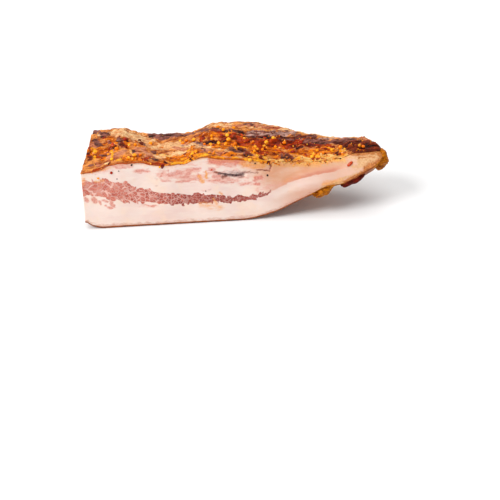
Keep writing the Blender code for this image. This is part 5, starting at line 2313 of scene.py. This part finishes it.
class Spices:
    """The seeds, flakes, pepper and crumbs on the crust."""

    def build(self, crust: Piece, meat: Piece) -> None:
        """Makes each kind of spice as one piece.

        Args:
            crust: The crust that the finest spices are scattered over.
            meat: The meat, which crumbs have fallen on below the crust's ragged edge.
        """
        rule = SpiceRule()
        seats = rule.seats()
        seeds = [seat for seat in seats if seat.kind is SEED] + [rule.speck(s) for s in MUSTARD_SPECKS]
        flakes = [seat for seat in seats if seat.kind is FLAKE] + [rule.speck(s) for s in CHILLI_SPECKS]
        peppers = [rule.speck(s) for s in PEPPER_SPECKS]
        skins = {finish.name: finish.dress(paint.paint) for finish, paint in SPICE_LOOKS}
        for heap, own in zip(SEATED, (seeds, flakes, peppers)):
            finish_piece(GrainTree(heap, skins[heap.finish]).grow(seat_mesh(own)), heap.slot)
        for heap in SCATTERED:
            base = meat if heap.cover in meat.data.attributes else crust
            finish_piece(GrainTree(heap, skins[heap.finish]).grow(base.data), heap.slot)


# ---------------- the room


@dataclass(frozen=True)
class Studio:
    """The pale floor, the soft light and the camera."""

    camera_place: Triple = (-0.05344, -0.62637, 0.38768)
    camera_down: float = 35.0
    camera_right: float = 6.0
    lens: float = 64.5
    sensor: float = 36.0
    nearest: float = 0.01
    floor_half: float = 3.0
    floor_drop: float = 0.0001
    floor_clouds: Clouds = Clouds(0.004, 2)
    floor_tones: tuple[Colour, Colour] = (linear(250, 250, 250), linear(247, 247, 247))
    key_from: Triple = (-0.95, -0.5, 1.0)
    key_distance: float = 3.0
    key_size: float = 1.3
    key_power: float = 58.0
    top_height: float = 2.4
    top_size: float = 2.4
    top_power: float = 27.0
    sky: float = 0.48

    def build(self) -> None:
        """Sets up the room."""
        bpy.context.scene.view_settings.view_transform = "Standard"
        self.floor()
        self.light()
        self.camera()

    def floor(self) -> None:
        """A plain pale floor."""
        h = self.floor_half
        corners = np.array([(-h, -h, 0), (h, -h, 0), (h, h, 0), (-h, h, 0)]) - (0, 0, self.floor_drop)
        skin = Finish("floor", 0.9, 0.1).dress(lambda g: (self.pale(g), None, None))
        make_object("floor", corners, [[0, 1, 2, 3]], skin)

    def pale(self, g: Graph) -> Socket:
        """A nearly white floor with the faintest cloudiness."""
        return g.blend(g.noise(g.millimetres(), self.floor_clouds), *self.floor_tones)

    def light(self) -> None:
        """A white room and two soft lamps, one front left and above, one overhead."""
        world = bpy.data.worlds.new("room")
        world.use_nodes = True
        backdrop = world.node_tree.nodes["Background"]
        backdrop.inputs["Color"].default_value = (1, 1, 1, 1)
        backdrop.inputs["Strength"].default_value = self.sky
        bpy.context.scene.world = world
        away = Vector(self.key_from).normalized() * self.key_distance
        self.lamp("key", away, self.key_size, self.key_power)
        self.lamp("top", Vector((0, 0, self.top_height)), self.top_size, self.top_power)

    def lamp(self, name: str, place: Vector, size: float, power: float) -> None:
        """A round soft lamp that faces the piece.

        Args:
            name: The lamp's name.
            place: Where it stands.
            size: How wide it is.
            power: How strong it is, in watts.
        """
        lamp = bpy.data.lights.new(name, "AREA")
        lamp.shape = "DISK"
        lamp.size = size
        lamp.energy = power
        stand = bpy.data.objects.new(name, lamp)
        stand.location = place
        stand.rotation_euler = (-place).to_track_quat("-Z", "Y").to_euler()
        bpy.context.scene.collection.objects.link(stand)

    def camera(self) -> None:
        """The camera at the photo's angle: above the cut face, a little left of its middle."""
        eye = bpy.data.cameras.new("camera")
        eye.lens = self.lens
        eye.sensor_width = self.sensor
        eye.clip_start = self.nearest
        camera = bpy.data.objects.new("camera", eye)
        camera.location = self.camera_place
        camera.rotation_euler = (math.radians(90 - self.camera_down), 0, -math.radians(self.camera_right))
        bpy.context.scene.collection.objects.link(camera)
        bpy.context.scene.camera = camera


MEAT_FINISH = Finish("cut_meat", 0.45, specular=0.3, coat=0.08, coat_roughness=0.25, depth=2.0,
                     depth_share=0.2, depth_colour=(1.0, 0.55, 0.42))
CRUST_FINISH = Finish("crust", 0.45, specular=0.04, coat=0.22, coat_roughness=0.07)
RIND_FINISH = Finish("rind", 0.35, specular=0.05, coat=0.04, coat_roughness=0.1, depth=1.5, depth_share=0.15,
                     depth_colour=(1.0, 0.45, 0.15))


def main() -> None:
    """Builds the pieces in order, then the room."""
    logging.basicConfig(level=logging.INFO, format="%(name)s: %(message)s")
    fibres, moist = fibre_group(), moist_group()
    meat_skin = MEAT_FINISH.dress(MeatPaint(fibres, moist).paint)
    crust_skin = CRUST_FINISH.dress(CrustPaint(fibres, moist).paint)
    rind_skin = RIND_FINISH.dress(RindPaint(fibres, moist).paint)
    meat = finish_piece(CutMeat().build(meat_skin), "cured_pork")
    crust = finish_piece(Crust().build(crust_skin), "spice_crust")
    finish_piece(Rind().build(rind_skin), "rind")
    finish_piece(Lobes().build(rind_skin), "rind")
    Spices().build(crust, meat)
    Studio().build()


if __name__ == "__main__":
    main()
